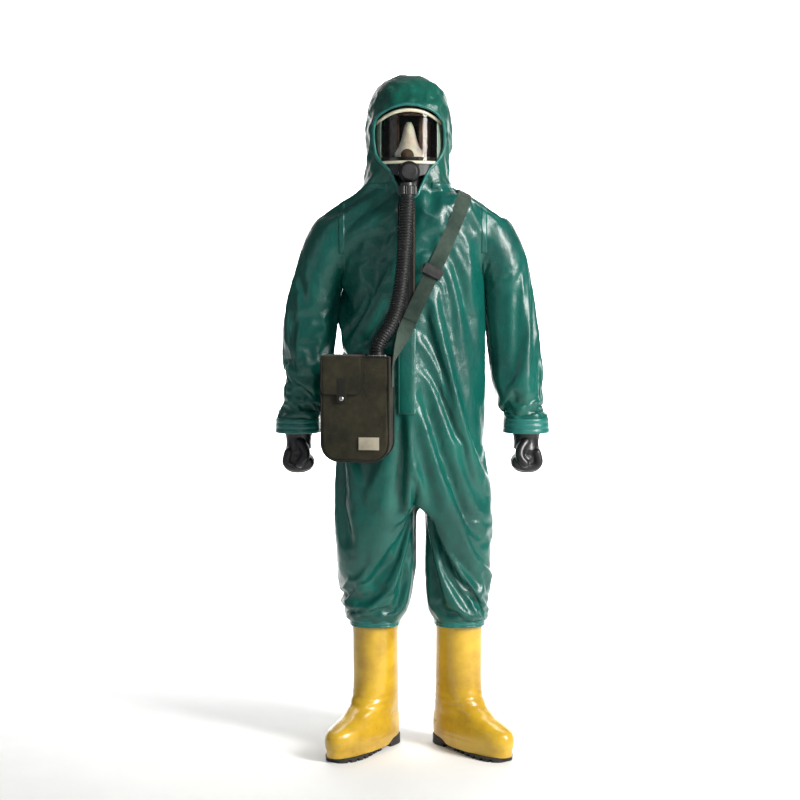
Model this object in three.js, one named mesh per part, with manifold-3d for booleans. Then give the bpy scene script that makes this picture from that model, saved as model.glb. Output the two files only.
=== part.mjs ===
// A chemical protective suit, standing as it is worn: a hooded one-piece coverall of coated fabric with a
// front zip, fist-closed gloves, safety boots, a panoramic full-face mask and its breathing hose, which runs
// to a filter canister in a shoulder bag.
// Millimetres, +Z up, the front faces -Y, and +X is the wearer's left. The origin is on the floor, under the
// middle of the whole outline. Everything below is drawn about the body's own upright line, which stands
// BODY_Y behind the origin because the bag hangs in front.
// Soft pieces are plain shells with their true outer shape and their real openings.

import * as THREE from "three";
import { mergeVertices } from "three/addons/utils/BufferGeometryUtils.js";
import Module from "manifold-3d";

const wasm = await Module();
wasm.setup();

// ---------- Driving dimensions ----------
const BODY_Y = 40;
const FABRIC = 3; // coated fabric, drawn thick enough to be a solid
const RUBBER = 4; // boot and mask walls
const GAP = 0.4; // between pieces that touch
const SQUARE = 2.6; // superellipse power of a body section
const HEAD_X = -10; // the head leans a little to the wearer's right
const CROTCH_X = 19; // and the stance is shifted to the left

const SHOULDER_Z = 1365;
const ARMHOLE_R = 82;
const SIDE_PLANE = 190; // the sleeves stay outside this, and the body inside it
const TORSO_TOP_Z = 1478;
const WAIST_CUT_Z = 880; // the body panels end here and the hip sections begin
const THIGH_TOP_Z = 688;
const KNEE_TOP_Z = 580;
const KNEE_BOTTOM_Z = 381;
const HEM_TOP_Z = 349;
const HEM_Z = 336;
const ELBOW_TOP_Z = 1160;
const ELBOW_BOTTOM_Z = 972;

// Body sections: height, half width, reach to the front, reach to the back.
const TORSO = [
  [880, 197, 152, 150],
  [960, 190, 148.6, 150],
  [1060, 184, 144.3, 150],
  [1180, 182, 139.1, 150],
  [1290, 185, 134.4, 148],
  [1370, 188, 131, 140],
  [1425, 187, 128.6, 126],
  [1447, 178, 124.5, 115],
  [1464, 140, 120, 106],
  [1478, 108, 116, 98],
];
const HOOD_NECK = [
  [1479, 108, 115, 100],
  [1505, 105, 115, 100],
  [1540, 104, 116, 105],
];
const HOOD = [
  [1541, 104, 117, 106],
  [1600, 107, 131, 114],
  [1650, 111, 138, 121],
  [1690, 107, 138, 119],
  [1722, 94, 125, 108],
  [1748, 74, 98, 88],
  [1768, 45, 54, 56],
];
const HOOD_TOP_Z = 1778;

// Sleeve sections, as the line from the inner to the outer edge: [inner x, z, outer x, z], then half depth.
// The right sleeve's inner edge stands further out, because the bag hangs beside it.
const UPPER_SLEEVE = [
  { inner: [152, SHOULDER_Z - 80], outer: [152, SHOULDER_Z + 80], depth: 80, power: 2 },
  { inner: [189, SHOULDER_Z - 80], outer: [190, SHOULDER_Z + 81], depth: 80, power: 2 },
  { inner: [192, 1274], outer: [234, 1384], depth: 79 },
  { inner: [193, 1246], outer: [270, 1306], depth: 75 },
  { inner: [194, 1205], outer: [302, 1226], depth: 71 },
  { inner: [197, 1160], outer: [318, 1160], depth: 68 },
];
const ELBOW_SECTION = [
  { inner: [197, 1159.6], outer: [318, 1159.6], depth: 68 },
  { inner: [200, 1066], outer: [331, 1066], depth: 66 },
  { inner: [207, 972], outer: [340, 972], depth: 64 },
];
const LOWER_SLEEVE = [
  { inner: [207, 971.6], outer: [340, 971.6], depth: 64 },
  { inner: [225, 925], outer: [348, 925], depth: 61 },
  { inner: [238, 880], outer: [358, 880], depth: 60 },
];
const CUFF = [
  { inner: [238, 879.6], outer: [359, 879.6], depth: 60 },
  { inner: [242, 843], outer: [364, 843], depth: 60 },
];
const RIGHT_INNER_AT_Z = [
  [870, 243],
  [925, 238],
  [980, 237],
  [1060, 233],
  [1160, 214],
  [1210, 198],
  [1284, 190],
];

// Leg sections: height, inner edge and outer edge of each leg, reach to the front, reach to the back.
const LEFT_LEG = [
  [688, 28, 216, 120, 128],
  [580, 34, 215, 110, 116],
  [480, 34, 222, 104, 110],
  [381, 42, 210, 94, 98],
  [349, 57, 193, 74, 78],
  [336, 58, 191, 72, 76],
];
const RIGHT_LEG = [
  [688, -9, 213, 120, 128],
  [580, -8, 209, 110, 116],
  [480, -8, 190, 104, 110],
  [381, 16, 180, 94, 98],
  [349, 32, 168, 74, 78],
  [336, 34, 164, 72, 76],
];

const BOOT_LEFT_X = 124.5;
const BOOT_RIGHT_X = -99;
const BOOT_TOP_Z = 366;
const SOLE_TOP_Z = 26;
const TOE_OUT_LEFT = 38; // degrees
const TOE_OUT_RIGHT = 34;

// Boot sections: height, half width, y of the toe, y of the heel.
const BOOT = [
  [SOLE_TOP_Z + GAP, 48, -196, 88],
  [50, 52, -203, 91],
  [74, 50, -194, 90],
  [90, 46, -160, 87],
  [108, 47, -112, 82],
  [135, 50, -76, 74],
  [180, 52, -63, 69],
  [260, 54, -61, 65],
  [BOOT_TOP_Z, 55.5, -61, 63],
];

// Gloves: height, centre distance from the middle, half width, half depth.
const GLOVE = [
  [892, 300, 35, 33],
  [843, 302, 38, 38],
  [800, 300, 42, 46],
  [772, 299, 42, 49],
  [752, 301, 35, 42],
  [740, 303, 22, 27],
];
const GLOVE_TIP_Z = 736;

const LENS_Y = -35; // the visor is a cylinder about this line
const LENS_R = 90;
const LENS_HALF_DEG = 62;
const LENS_BOTTOM_Z = 1548;
const LENS_SIDE_TOP_Z = 1652;
const LENS_ARCH = 36;
const CHIN_Z = 1517; // the middle of the chin housing, under the visor

const HOSE_R = 19;
const HOSE_ROUTE = [
  [-14, -156, 1467],
  [-14, -156, 1456],
  [-14.5, -158, 1436],
  [-17, -164, 1395],
  [-20, -171, 1350],
  [-24, -176, 1300],
  [-29, -180, 1250],
  [-36, -183, 1200],
  [-46, -186, 1160],
  [-62, -188.5, 1124],
  [-80, -190, 1096],
  [-90.5, -190.5, 1074],
  [-91.5, -190.5, 1058],
  [-91.5, -190.5, 1048],
];

const BAG_WIDTH = 170;
const BAG_DEPTH = 90;
const BAG_BOTTOM_Z = 776;
const BAG_TOP_Z = 1052;
const BAG_BACK = [-134, -141]; // the middle of its back face
const BAG_TURN = 8; // degrees that it faces outwards
const BAG_WALL = 3;
const FLAP_WIDTH = 104;

const STRAP_WIDTH = 40;
const STRAP_THICK = 2.4;
const STRAP_OFFSET = 8.5; // its middle surface off the coverall
// The strap's middle line over the body, from the front of the wearer's right hip over the left shoulder and
// down across the back to the right side. Each point is laid on the coverall's surface.
const STRAP_ROUTE = [
  [-28, -148, 1096],
  [2, -146, 1165],
  [36, -142, 1235],
  [70, -134, 1305],
  [100, -124, 1370],
  [121, -105, 1428],
  [131, -70, 1458],
  [134, -20, 1466],
  [132, 34, 1464],
  [124, 84, 1442],
  [104, 116, 1405],
  [74, 140, 1352],
  [36, 148, 1292],
  [-8, 150, 1232],
  [-54, 149, 1176],
  [-98, 144, 1126],
  [-136, 130, 1084],
  [-163, 106, 1052],
  [-180, 70, 1030],
  [-187, 20, 1016],
  [-186, -34, 1010],
];
const STRAP_END_Z = 1004; // both ends lie flat on the bag's sides, this high
const ADJUSTER_AT = 0.209; // the fraction of the way up from the front end

// ---------- Shapes ----------
const Z_AXIS = new THREE.Vector3(0, 0, 1);
const rad = THREE.MathUtils.degToRad;

// A geometry from points and triangles, turned to face out.
function closedGeometry(points, triangles) {
  let volume = 0;
  const cross = new THREE.Vector3();
  for (const [a, b, c] of triangles) {
    volume += points[a].dot(cross.crossVectors(points[b], points[c]));
  }
  const index = triangles.flatMap(([a, b, c]) => (volume < 0 ? [a, c, b] : [a, b, c]));
  const geometry = new THREE.BufferGeometry().setFromPoints(points);
  geometry.setIndex(index);
  return geometry;
}

// A wall lofted through rings, each { outer: [points], inner: [points] }. A closed wall goes right round;
// an open one ends in two side edges. A capped start or end is closed by a point on each surface.
function wall(rings, { closed = true, capStart = false, capEnd = false } = {}) {
  const count = rings[0].outer.length;
  const last = rings.length - 1;
  const points = [...rings.flatMap((r) => r.outer), ...rings.flatMap((r) => r.inner)];
  const outer = (i, j) => i * count + (j % count);
  const inner = (i, j) => outer(i, j) + rings.length * count;
  const triangles = [];
  const quad = (a, b, c, d) => triangles.push([a, b, c], [a, c, d]);
  const steps = closed ? count : count - 1;

  for (let i = 0; i < last; i++) {
    for (let j = 0; j < steps; j++) {
      quad(outer(i, j), outer(i, j + 1), outer(i + 1, j + 1), outer(i + 1, j));
      quad(inner(i, j), inner(i + 1, j), inner(i + 1, j + 1), inner(i, j + 1));
    }
    if (!closed) {
      quad(outer(i, 0), outer(i + 1, 0), inner(i + 1, 0), inner(i, 0));
      quad(outer(i + 1, steps), outer(i, steps), inner(i, steps), inner(i + 1, steps));
    }
  }
  const middle = (ring) => ring.reduce((sum, p) => sum.add(p), new THREE.Vector3()).divideScalar(count);
  for (const [i, capped, flip] of [
    [0, capStart, false],
    [last, capEnd, true],
  ]) {
    if (capped) points.push(middle(rings[i].outer), middle(rings[i].inner));
    const tips = [points.length - 2, points.length - 1];
    for (let j = 0; j < steps; j++) {
      const [a, b] = flip ? [j + 1, j] : [j, j + 1];
      if (capped) {
        triangles.push([outer(i, b), outer(i, a), tips[0]], [inner(i, a), inner(i, b), tips[1]]);
      } else {
        quad(outer(i, b), outer(i, a), inner(i, a), inner(i, b));
      }
    }
  }
  return closedGeometry(points, triangles);
}

const bulge = (v, power) => Math.sign(v) * Math.abs(v) ** (2 / power);

// A ring about a centre, with its first axis `across` and its second along Y.
function ring(centre, across, half, front, back, thickness, { angles, power = SQUARE }) {
  const at = (angle, inset) => {
    const c = bulge(Math.cos(rad(angle)), power);
    const s = bulge(Math.sin(rad(angle)), power);
    const depth = (s < 0 ? front : back) - inset;
    return new THREE.Vector3(...centre)
      .addScaledVector(across, c * (half - inset))
      .add(new THREE.Vector3(0, s * depth, 0));
  };
  return { outer: angles.map((a) => at(a, 0)), inner: angles.map((a) => at(a, thickness)) };
}

function anglesBetween(from, to, steps) {
  return Array.from({ length: steps + 1 }, (_, i) => from + ((to - from) * i) / steps);
}
const roundAngles = (steps) => anglesBetween(0, 360, steps).slice(0, steps);

const X_AXIS = new THREE.Vector3(1, 0, 0);

// Horizontal body rings from a table of [z, half width, front, back].
function bodyRings(table, x, thickness, angles) {
  return table.map(([z, half, front, back]) => ring([x, 0, z], X_AXIS, half, front, back, thickness, { angles }));
}

// One row of a table of sections at a height between its rows.
function sectionAt(table, z) {
  const i = Math.max(1, table.findIndex((row) => row[0] >= z));
  const [low, high] = [table[i - 1], table[i]];
  const t = (z - low[0]) / (high[0] - low[0]);
  return low.map((value, k) => THREE.MathUtils.lerp(value, high[k], t));
}

// A curved plate about a vertical line, from bottom(angle) to top(angle); angle 0 is the front.
function curvedPlate({ x, y, radius, thickness, from, to, steps = 14, bottom, top }) {
  const at = (angle, r, z) => new THREE.Vector3(x + r * Math.sin(rad(angle)), y - r * Math.cos(rad(angle)), z);
  const angles = anglesBetween(from, to, steps);
  const rings = [bottom, top].map((level) => ({
    outer: angles.map((a) => at(a, radius + thickness, level(a))),
    inner: angles.map((a) => at(a, radius, level(a))),
  }));
  return wall(rings, { closed: false });
}

function box(width, depth, height, x = 0, y = 0, z = 0) {
  return new THREE.BoxGeometry(width, depth, height).translate(x, y, z);
}

// A tube or disc about Z from z0 to z1, bored to `inner` if that is over 0.
function tube(outer, inner, z0, z1, steps = 24) {
  const profile = [
    [inner, z0],
    [outer, z0],
    [outer, z1],
    [inner, z1],
  ].map(([r, z]) => new THREE.Vector2(r, z));
  if (inner > 0) profile.push(profile[0].clone());
  return new THREE.LatheGeometry(profile, steps).rotateX(Math.PI / 2);
}

// ---------- Booleans ----------
function solid(geometry) {
  const bare = new THREE.BufferGeometry().setAttribute("position", geometry.getAttribute("position").clone());
  if (geometry.index) bare.setIndex(geometry.index.clone());
  const merged = mergeVertices(bare, 1e-3);
  return new wasm.Manifold(
    new wasm.Mesh({
      numProp: 3,
      vertProperties: merged.attributes.position.array,
      triVerts: new Uint32Array(merged.index.array),
    }),
  );
}

function geometryOf(manifold) {
  const mesh = manifold.getMesh();
  const geometry = new THREE.BufferGeometry();
  geometry.setAttribute("position", new THREE.BufferAttribute(mesh.vertProperties, 3));
  return geometry.setIndex(new THREE.BufferAttribute(mesh.triVerts, 1));
}

const cut = (geometry, ...tools) => geometryOf(tools.reduce((s, t) => s.subtract(solid(t)), solid(geometry)));
const join = (geometry, ...more) => geometryOf(more.reduce((s, t) => s.add(solid(t)), solid(geometry)));

// An outline in X and Z, extruded along Y from y0 back to y1.
function extrudedFront(shape, y0, y1) {
  const geometry = new THREE.ExtrudeGeometry(shape, { depth: y1 - y0, bevelEnabled: false, curveSegments: 8 });
  return geometry.rotateX(Math.PI / 2).translate(0, y1, 0);
}

function roundedShape(x0, x1, z0, z1, bottomRadius, topRadius) {
  const shape = new THREE.Shape();
  shape.moveTo(x0 + bottomRadius, z0);
  shape.lineTo(x1 - bottomRadius, z0);
  shape.absarc(x1 - bottomRadius, z0 + bottomRadius, bottomRadius, -Math.PI / 2, 0);
  shape.lineTo(x1, z1 - topRadius);
  shape.absarc(x1 - topRadius, z1 - topRadius, topRadius, 0, Math.PI / 2);
  shape.lineTo(x0 + topRadius, z1);
  shape.absarc(x0 + topRadius, z1 - topRadius, topRadius, Math.PI / 2, Math.PI);
  shape.lineTo(x0, z0 + bottomRadius);
  shape.absarc(x0 + bottomRadius, z0 + bottomRadius, bottomRadius, Math.PI, 1.5 * Math.PI);
  return shape;
}

// ---------- Materials ----------
const coat = (color, roughness) => new THREE.MeshStandardMaterial({ color, roughness, metalness: 0 });
const FABRIC_GREEN = coat(0x13806a, 0.35);
const RUBBER_BLACK = coat(0x17171a, 0.55);
const BOOT_YELLOW = coat(0xd8ac1c, 0.3);
const CANVAS_OLIVE = coat(0x3c3f30, 0.9);
const WEBBING = coat(0x5b6a5c, 0.9);
const RIM_CREAM = coat(0xd9d2b4, 0.35);
const SILICONE = coat(0xcfc8bd, 0.4);
const PLASTIC_BLACK = coat(0x101114, 0.4);
const METAL = new THREE.MeshStandardMaterial({ color: 0x9a9c9a, roughness: 0.35, metalness: 1 });
const LENS = new THREE.MeshStandardMaterial({ color: 0xcfd6c8, roughness: 0.05, transparent: true, opacity: 0.35 });

const part = new THREE.Group();
part.position.y = BODY_Y;
function add(name, geometry, material, parent = part) {
  const mesh = new THREE.Mesh(geometry, material);
  mesh.name = name;
  parent.add(mesh);
  return mesh;
}

// ---------- Body of the coverall ----------
const PLACKET_X = -16;
const PLACKET_HALF = 22;
const ZIP_TOP_Z = 1440;
const ZIP_BOTTOM_Z = 900;
const frontAt = (z) => sectionAt(TORSO, z)[2];

function coverallBody() {
  const armholes = [1, -1].map((side) =>
    new THREE.CylinderGeometry(ARMHOLE_R + GAP, ARMHOLE_R + GAP, 140, 32)
      .rotateZ(Math.PI / 2)
      .translate(side * (SIDE_PLANE + 10), 0, SHOULDER_Z),
  );
  const seam = 0.03; // degrees left open at each seam
  const panel = (from, to, steps) =>
    wall(bodyRings(TORSO, 0, FABRIC, anglesBetween(from + seam, to - seam, steps)), { closed: false });
  const placketSlot = box(
    2 * (PLACKET_HALF + GAP), 120, ZIP_TOP_Z - ZIP_BOTTOM_Z + 60,
    PLACKET_X, -140, (ZIP_TOP_Z + ZIP_BOTTOM_Z) / 2,
  );
  add("front_panel_left", cut(panel(264, 360, 10), armholes[0], placketSlot), FABRIC_GREEN);
  add("front_panel_right", cut(panel(180, 264, 9), armholes[1], placketSlot), FABRIC_GREEN);
  add("back_panel", cut(panel(0, 180, 18), ...armholes), FABRIC_GREEN);

  const sections = [THIGH_TOP_Z + GAP, 780, WAIST_CUT_Z - GAP].map((z) => {
    const t = (WAIST_CUT_Z - z) / (WAIST_CUT_Z - THIGH_TOP_Z);
    return [z, 197 + 18 * t, 152 - 20 * t, 150 - 10 * t];
  });
  const half = (from, to) =>
    wall(bodyRings(sections, 0, FABRIC, anglesBetween(from + seam, to - seam, 12)), { closed: false });
  add("hip_section_left", half(-90, 90), FABRIC_GREEN);
  add("hip_section_right", half(90, 270), FABRIC_GREEN);
  add("crotch_gusset", box(15, 190, 20, CROTCH_X - 0.5, 0, THIGH_TOP_Z - 12), FABRIC_GREEN);
}

// ---------- Front zip: a placket with the chain on it, the slider and its pull tab ----------
function frontZip() {
  const sink = 1; // the placket's face stands this far out of the panels
  const faceY = (z) => -frontAt(z) - sink;
  const run = ZIP_TOP_Z - ZIP_BOTTOM_Z;
  const lean = Math.atan((frontAt(ZIP_BOTTOM_Z) - frontAt(ZIP_TOP_Z - 20)) / (run - 20));
  const zip = new THREE.Group();
  zip.position.set(PLACKET_X, faceY(ZIP_BOTTOM_Z), ZIP_BOTTOM_Z);
  zip.rotation.x = -lean; // its own Z runs up the front
  part.add(zip);
  const chainHalf = 3.5;
  const chainProud = 1.6;
  add(
    "zip_placket",
    join(
      box(2 * PLACKET_HALF, 5, run, 0, 2.5, run / 2),
      box(2 * chainHalf, 3, run - 20, 0, 1.5 - chainProud, run / 2 - 6),
    ),
    RUBBER_BLACK,
    zip,
  );
  const sliderZ = run - 28;
  const body = box(11, 3.4, 17, 0, -chainProud - 0.5 - 1.7, sliderZ);
  const bridge = box(3, 3, 9, 0, -chainProud - 0.5 - 4.4, sliderZ);
  add("zip_slider", join(body, bridge), METAL, zip);
  const tab = roundedShape(-5, 5, sliderZ - 34, sliderZ - 5.2, 4, 1.5);
  const tabY = -chainProud - 0.5 - 3.4 - 0.6;
  add("zip_pull_tab", extrudedFront(tab, tabY - 2, tabY), PLASTIC_BLACK, zip);
}

// ---------- Hood ----------
function hood() {
  const angles = roundAngles(28);
  const opening = new THREE.Shape();
  const halfFace = 88;
  const slot = 46;
  opening.moveTo(HEAD_X - slot, 1440);
  opening.lineTo(HEAD_X + slot, 1440);
  opening.lineTo(HEAD_X + halfFace, 1556);
  opening.lineTo(HEAD_X + halfFace, 1648);
  opening.quadraticCurveTo(HEAD_X, 1752, HEAD_X - halfFace, 1648);
  opening.lineTo(HEAD_X - halfFace, 1556);
  const face = extrudedFront(opening, -200, -30);
  const rings = bodyRings(HOOD, HEAD_X, FABRIC, angles);
  const crown = ring([HEAD_X, 0, HOOD_TOP_Z], X_AXIS, 12, 14, 14, 0, { angles });
  crown.inner = crown.outer.map((p) => new THREE.Vector3(p.x, p.y, p.z - FABRIC));
  add("hood", cut(wall([...rings, crown], { capEnd: true }), face), FABRIC_GREEN);
  add("hood_neck", cut(wall(bodyRings(HOOD_NECK, HEAD_X, FABRIC, angles)), face), FABRIC_GREEN);
}

// ---------- Mask ----------
function mask() {
  const centre = { x: HEAD_X, y: LENS_Y };
  const lensTop = (a) => LENS_SIDE_TOP_Z + LENS_ARCH * Math.cos(rad(a * 1.35));
  const half = LENS_HALF_DEG;
  add(
    "visor",
    curvedPlate({
      ...centre, radius: LENS_R, thickness: 2, from: -half, to: half, steps: 18,
      bottom: () => LENS_BOTTOM_Z, top: lensTop,
    }),
    LENS,
  );
  const rim = { ...centre, radius: LENS_R + 2 + GAP, thickness: 2.6, steps: 18 };
  const rimHeight = 8;
  add(
    "visor_rim_top",
    curvedPlate({ ...rim, from: -half, to: half, bottom: (a) => lensTop(a) - rimHeight + 2, top: (a) => lensTop(a) + 2 }),
    RIM_CREAM,
  );
  add(
    "visor_rim_bottom",
    curvedPlate({
      ...rim, from: -half + 6, to: half - 6,
      bottom: () => LENS_BOTTOM_Z - 2, top: () => LENS_BOTTOM_Z + rimHeight - 2,
    }),
    RIM_CREAM,
  );
  const window = curvedPlate({
    ...centre, radius: LENS_R - 20, thickness: 20, from: -half + 7, to: half - 7,
    bottom: () => LENS_BOTTOM_Z + 8, top: (a) => lensTop(a) - 9,
  });
  const face = curvedPlate({
    ...centre, radius: LENS_R - RUBBER - GAP, thickness: RUBBER, from: -84, to: 84, steps: 20,
    bottom: (a) => 1500 + 26 * Math.sin(rad(Math.abs(a))), top: (a) => lensTop(Math.min(half, Math.abs(a))) + 16,
  });
  add("mask_facepiece", cut(face, window), RUBBER_BLACK);

  // The chin housing is a shallow round cup that faces forward, with its back open to the facepiece.
  const housing = new THREE.Group();
  housing.position.set(HEAD_X, LENS_Y - LENS_R - 1, CHIN_Z);
  housing.rotation.x = Math.PI / 2; // its own Z points forward
  part.add(housing);
  const cup = [
    [26, 0], [28, 5], [26, 16], [22, 22], [15, 24], [15, 20], [20, 18], [23, 14], [24, 5], [23, 0], [26, 0],
  ].map(([r, z]) => new THREE.Vector2(r, z));
  add("chin_housing", new THREE.LatheGeometry(cup, 28).rotateX(Math.PI / 2), RUBBER_BLACK, housing);
  add("valve_cover", tube(18, 0, 24 + GAP, 28, 24), PLASTIC_BLACK, housing);
  add("exhale_valve_disc", tube(13, 0, 20.6, 21.8, 20), SILICONE, housing);

  const inletX = HOSE_ROUTE[0][0];
  const inletY = HOSE_ROUTE[0][1];
  const nutTop = HOSE_ROUTE[0][2] + 14;
  const inlet = new THREE.Group();
  inlet.position.set(inletX, inletY, 0);
  part.add(inlet);
  add("hose_inlet", tube(17, 13, HOSE_ROUTE[0][2] + 1, CHIN_Z - 28.5, 20), PLASTIC_BLACK, inlet);
  add("hose_nut_top", tube(24, 20.5, HOSE_ROUTE[0][2] - 8, nutTop, 20), PLASTIC_BLACK, inlet);

  const cupRings = [
    [1556, 34, 34, 26],
    [1576, 33, 33, 26],
    [1606, 23, 26, 24],
    [1640, 11, 15, 20],
  ].map(([z, a, f, b]) => ring([HEAD_X, -80, z], X_AXIS, a, f, b, 2.4, { angles: roundAngles(18), power: 2 }));
  add("nose_cup", wall(cupRings, { capEnd: true }), SILICONE);
  harness();
}

// Head straps of the mask: two temple straps, two cheek straps, a crown strap and the pad that joins them.
function harness() {
  const band = { x: HEAD_X, y: 1, radius: 86, thickness: 2.4 };
  const level = (z, halfHeight) => ({ bottom: () => z - halfHeight, top: () => z + halfHeight });
  for (const [side, name] of [
    [1, "left"],
    [-1, "right"],
  ]) {
    const [from, to] = side > 0 ? [70, 158] : [-158, -70];
    add(`harness_temple_strap_${name}`, curvedPlate({ ...band, from, to, steps: 8, ...level(1640, 9) }), RUBBER_BLACK);
    add(`harness_cheek_strap_${name}`, curvedPlate({ ...band, from, to, steps: 8, ...level(1572, 9) }), RUBBER_BLACK);
  }
  add("harness_pad", curvedPlate({ ...band, from: 160, to: 200, steps: 6, ...level(1606, 44) }), RUBBER_BLACK);
}

// ---------- Hose, with its two ends ----------
function hose() {
  const route = new THREE.CatmullRomCurve3(HOSE_ROUTE.map((p) => new THREE.Vector3(...p)), false, "centripetal");
  const section = new THREE.Shape().absarc(0, 0, HOSE_R, 0, 2 * Math.PI);
  const bare = new THREE.ExtrudeGeometry(section, { extrudePath: route, steps: 18, curveSegments: 5 });
  add("breathing_hose", bare, RUBBER_BLACK);
  const [x, y, z] = HOSE_ROUTE.at(-1);
  const end = new THREE.Group();
  end.position.set(x, y, 0);
  part.add(end);
  add("hose_nut_bottom", tube(24, 20.5, z - 14, z + 8, 20), METAL, end);
}

// ---------- Sleeves, cuffs and gloves ----------
function rightInner(z) {
  const clamped = THREE.MathUtils.clamp(z, RIGHT_INNER_AT_Z[0][0], RIGHT_INNER_AT_Z.at(-1)[0]);
  return sectionAt(RIGHT_INNER_AT_Z, clamped)[1];
}

function sleeveRings(table, side, thickness = FABRIC) {
  return table.map(({ inner, outer, depth, power = 2.15 }) => {
    const innerX = side > 0 ? inner[0] : Math.max(inner[0], rightInner(inner[1]));
    const from = new THREE.Vector3(side * innerX, 0, inner[1]);
    const to = new THREE.Vector3(side * outer[0], 0, outer[1]);
    const across = to.clone().sub(from);
    const half = across.length() / 2;
    const centre = from.clone().add(to).divideScalar(2);
    return ring(centre.toArray(), across.normalize(), half, depth, depth, thickness, {
      angles: roundAngles(18),
      power,
    });
  });
}

function arm(side, name) {
  add(`upper_sleeve_${name}`, wall(sleeveRings(UPPER_SLEEVE, side)), FABRIC_GREEN);
  add(`elbow_section_${name}`, wall(sleeveRings(ELBOW_SECTION, side)), FABRIC_GREEN);
  add(`lower_sleeve_${name}`, wall(sleeveRings(LOWER_SLEEVE, side)), FABRIC_GREEN);
  add(`cuff_${name}`, wall(sleeveRings(CUFF, side, FABRIC + 1)), FABRIC_GREEN);

  const rings = GLOVE.map(([z, x, half, depth]) =>
    ring([side * x, 0, z], X_AXIS, half, depth, depth, FABRIC, { angles: roundAngles(18), power: 2.2 }),
  );
  const [, tipX] = GLOVE.at(-1);
  const tip = ring([side * tipX, 0, GLOVE_TIP_Z], X_AXIS, 8, 10, 10, 0, { angles: roundAngles(18), power: 2.2 });
  tip.inner = tip.outer.map((p) => new THREE.Vector3(p.x, p.y, p.z + FABRIC));
  const thumb = new THREE.SphereGeometry(15, 12, 8).scale(1, 1.5, 1).rotateX(rad(-25));
  thumb.translate(side * 262, -18, 757);
  const hollow = wall([...rings, tip], { capEnd: true });
  const hand = new THREE.SphereGeometry(1, 14, 10).scale(36, 40, 30).translate(side * 300, 0, 779);
  add(`glove_${name}`, cut(join(hollow, thumb), hand), RUBBER_BLACK);
  const ringX = side * 302;
  const seat = tube(53, 41, 850, 864, 24);
  add(`glove_ring_${name}`, seat.translate(ringX, 0, 0), PLASTIC_BLACK);
}

// ---------- Trouser legs ----------
function legRings(table, side, from, to) {
  const heights = [from, ...table.map((row) => row[0]).filter((z) => z < from && z > to), to];
  return heights.map((z) => {
    const rising = [...table].reverse();
    const [, inner, outer, front, back] = sectionAt(rising, z);
    return ring([(side * (inner + outer)) / 2, 0, z], X_AXIS, (outer - inner) / 2, front, back, FABRIC, {
      angles: roundAngles(20),
    });
  });
}

function leg(side, name) {
  const table = side > 0 ? LEFT_LEG : RIGHT_LEG;
  add(`thigh_section_${name}`, wall(legRings(table, side, THIGH_TOP_Z, KNEE_TOP_Z)), FABRIC_GREEN);
  add(`knee_section_${name}`, wall(legRings(table, side, KNEE_TOP_Z - GAP, KNEE_BOTTOM_Z)), FABRIC_GREEN);
  add(`shin_section_${name}`, wall(legRings(table, side, KNEE_BOTTOM_Z - GAP, HEM_TOP_Z)), FABRIC_GREEN);
  add(`hem_band_${name}`, wall(legRings(table, side, HEM_TOP_Z - GAP, HEM_Z)), FABRIC_GREEN);
}

// ---------- Boots ----------
function soleOutline(grow) {
  const heel = 88 + grow;
  const toe = -196 - grow;
  const shape = new THREE.Shape();
  shape.moveTo(0, heel);
  shape.bezierCurveTo(34, heel, 40 + grow, heel - 24, 38 + grow, heel - 60);
  shape.bezierCurveTo(34 + grow, -30, 50 + grow, -80, 50 + grow, -118);
  shape.bezierCurveTo(50 + grow, -168, 30, toe, 0, toe);
  shape.bezierCurveTo(-30, toe, -50 - grow, -168, -50 - grow, -118);
  shape.bezierCurveTo(-50 - grow, -80, -34 - grow, -30, -38 - grow, heel - 60);
  shape.bezierCurveTo(-40 - grow, heel - 24, -34, heel, 0, heel);
  return shape;
}

function boot(side, name) {
  const pair = new THREE.Group();
  pair.position.x = side > 0 ? BOOT_LEFT_X : BOOT_RIGHT_X;
  pair.rotation.z = rad(side > 0 ? TOE_OUT_LEFT : -TOE_OUT_RIGHT);
  part.add(pair);
  const angles = roundAngles(22);
  const rings = BOOT.map(([z, half, toe, heel]) => {
    const middle = (toe + heel) / 2;
    const reach = (heel - toe) / 2;
    return ring([0, middle, z], X_AXIS, half, reach, reach, RUBBER, { angles, power: 2.3 });
  });
  rings[0].inner = rings[0].inner.map((p) => new THREE.Vector3(p.x, p.y, p.z + RUBBER));
  add(`boot_${name}`, wall(rings, { capStart: true }), BOOT_YELLOW, pair);

  const slab = new THREE.ExtrudeGeometry(soleOutline(0), { depth: 12, bevelEnabled: false, curveSegments: 6 });
  const tread = new THREE.ExtrudeGeometry(soleOutline(0), { depth: 15, bevelEnabled: false, curveSegments: 6 });
  const heelCut = box(140, 200, 60, 0, 88 - 72 - 100, 0);
  const foreCut = box(140, 200, 60, 0, -58 + 100, 0);
  const sole = join(slab.translate(0, 0, SOLE_TOP_Z - 12), cut(tread, heelCut), cut(tread.clone(), foreCut));
  add(`boot_sole_${name}`, sole, RUBBER_BLACK, pair);
}

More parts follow.
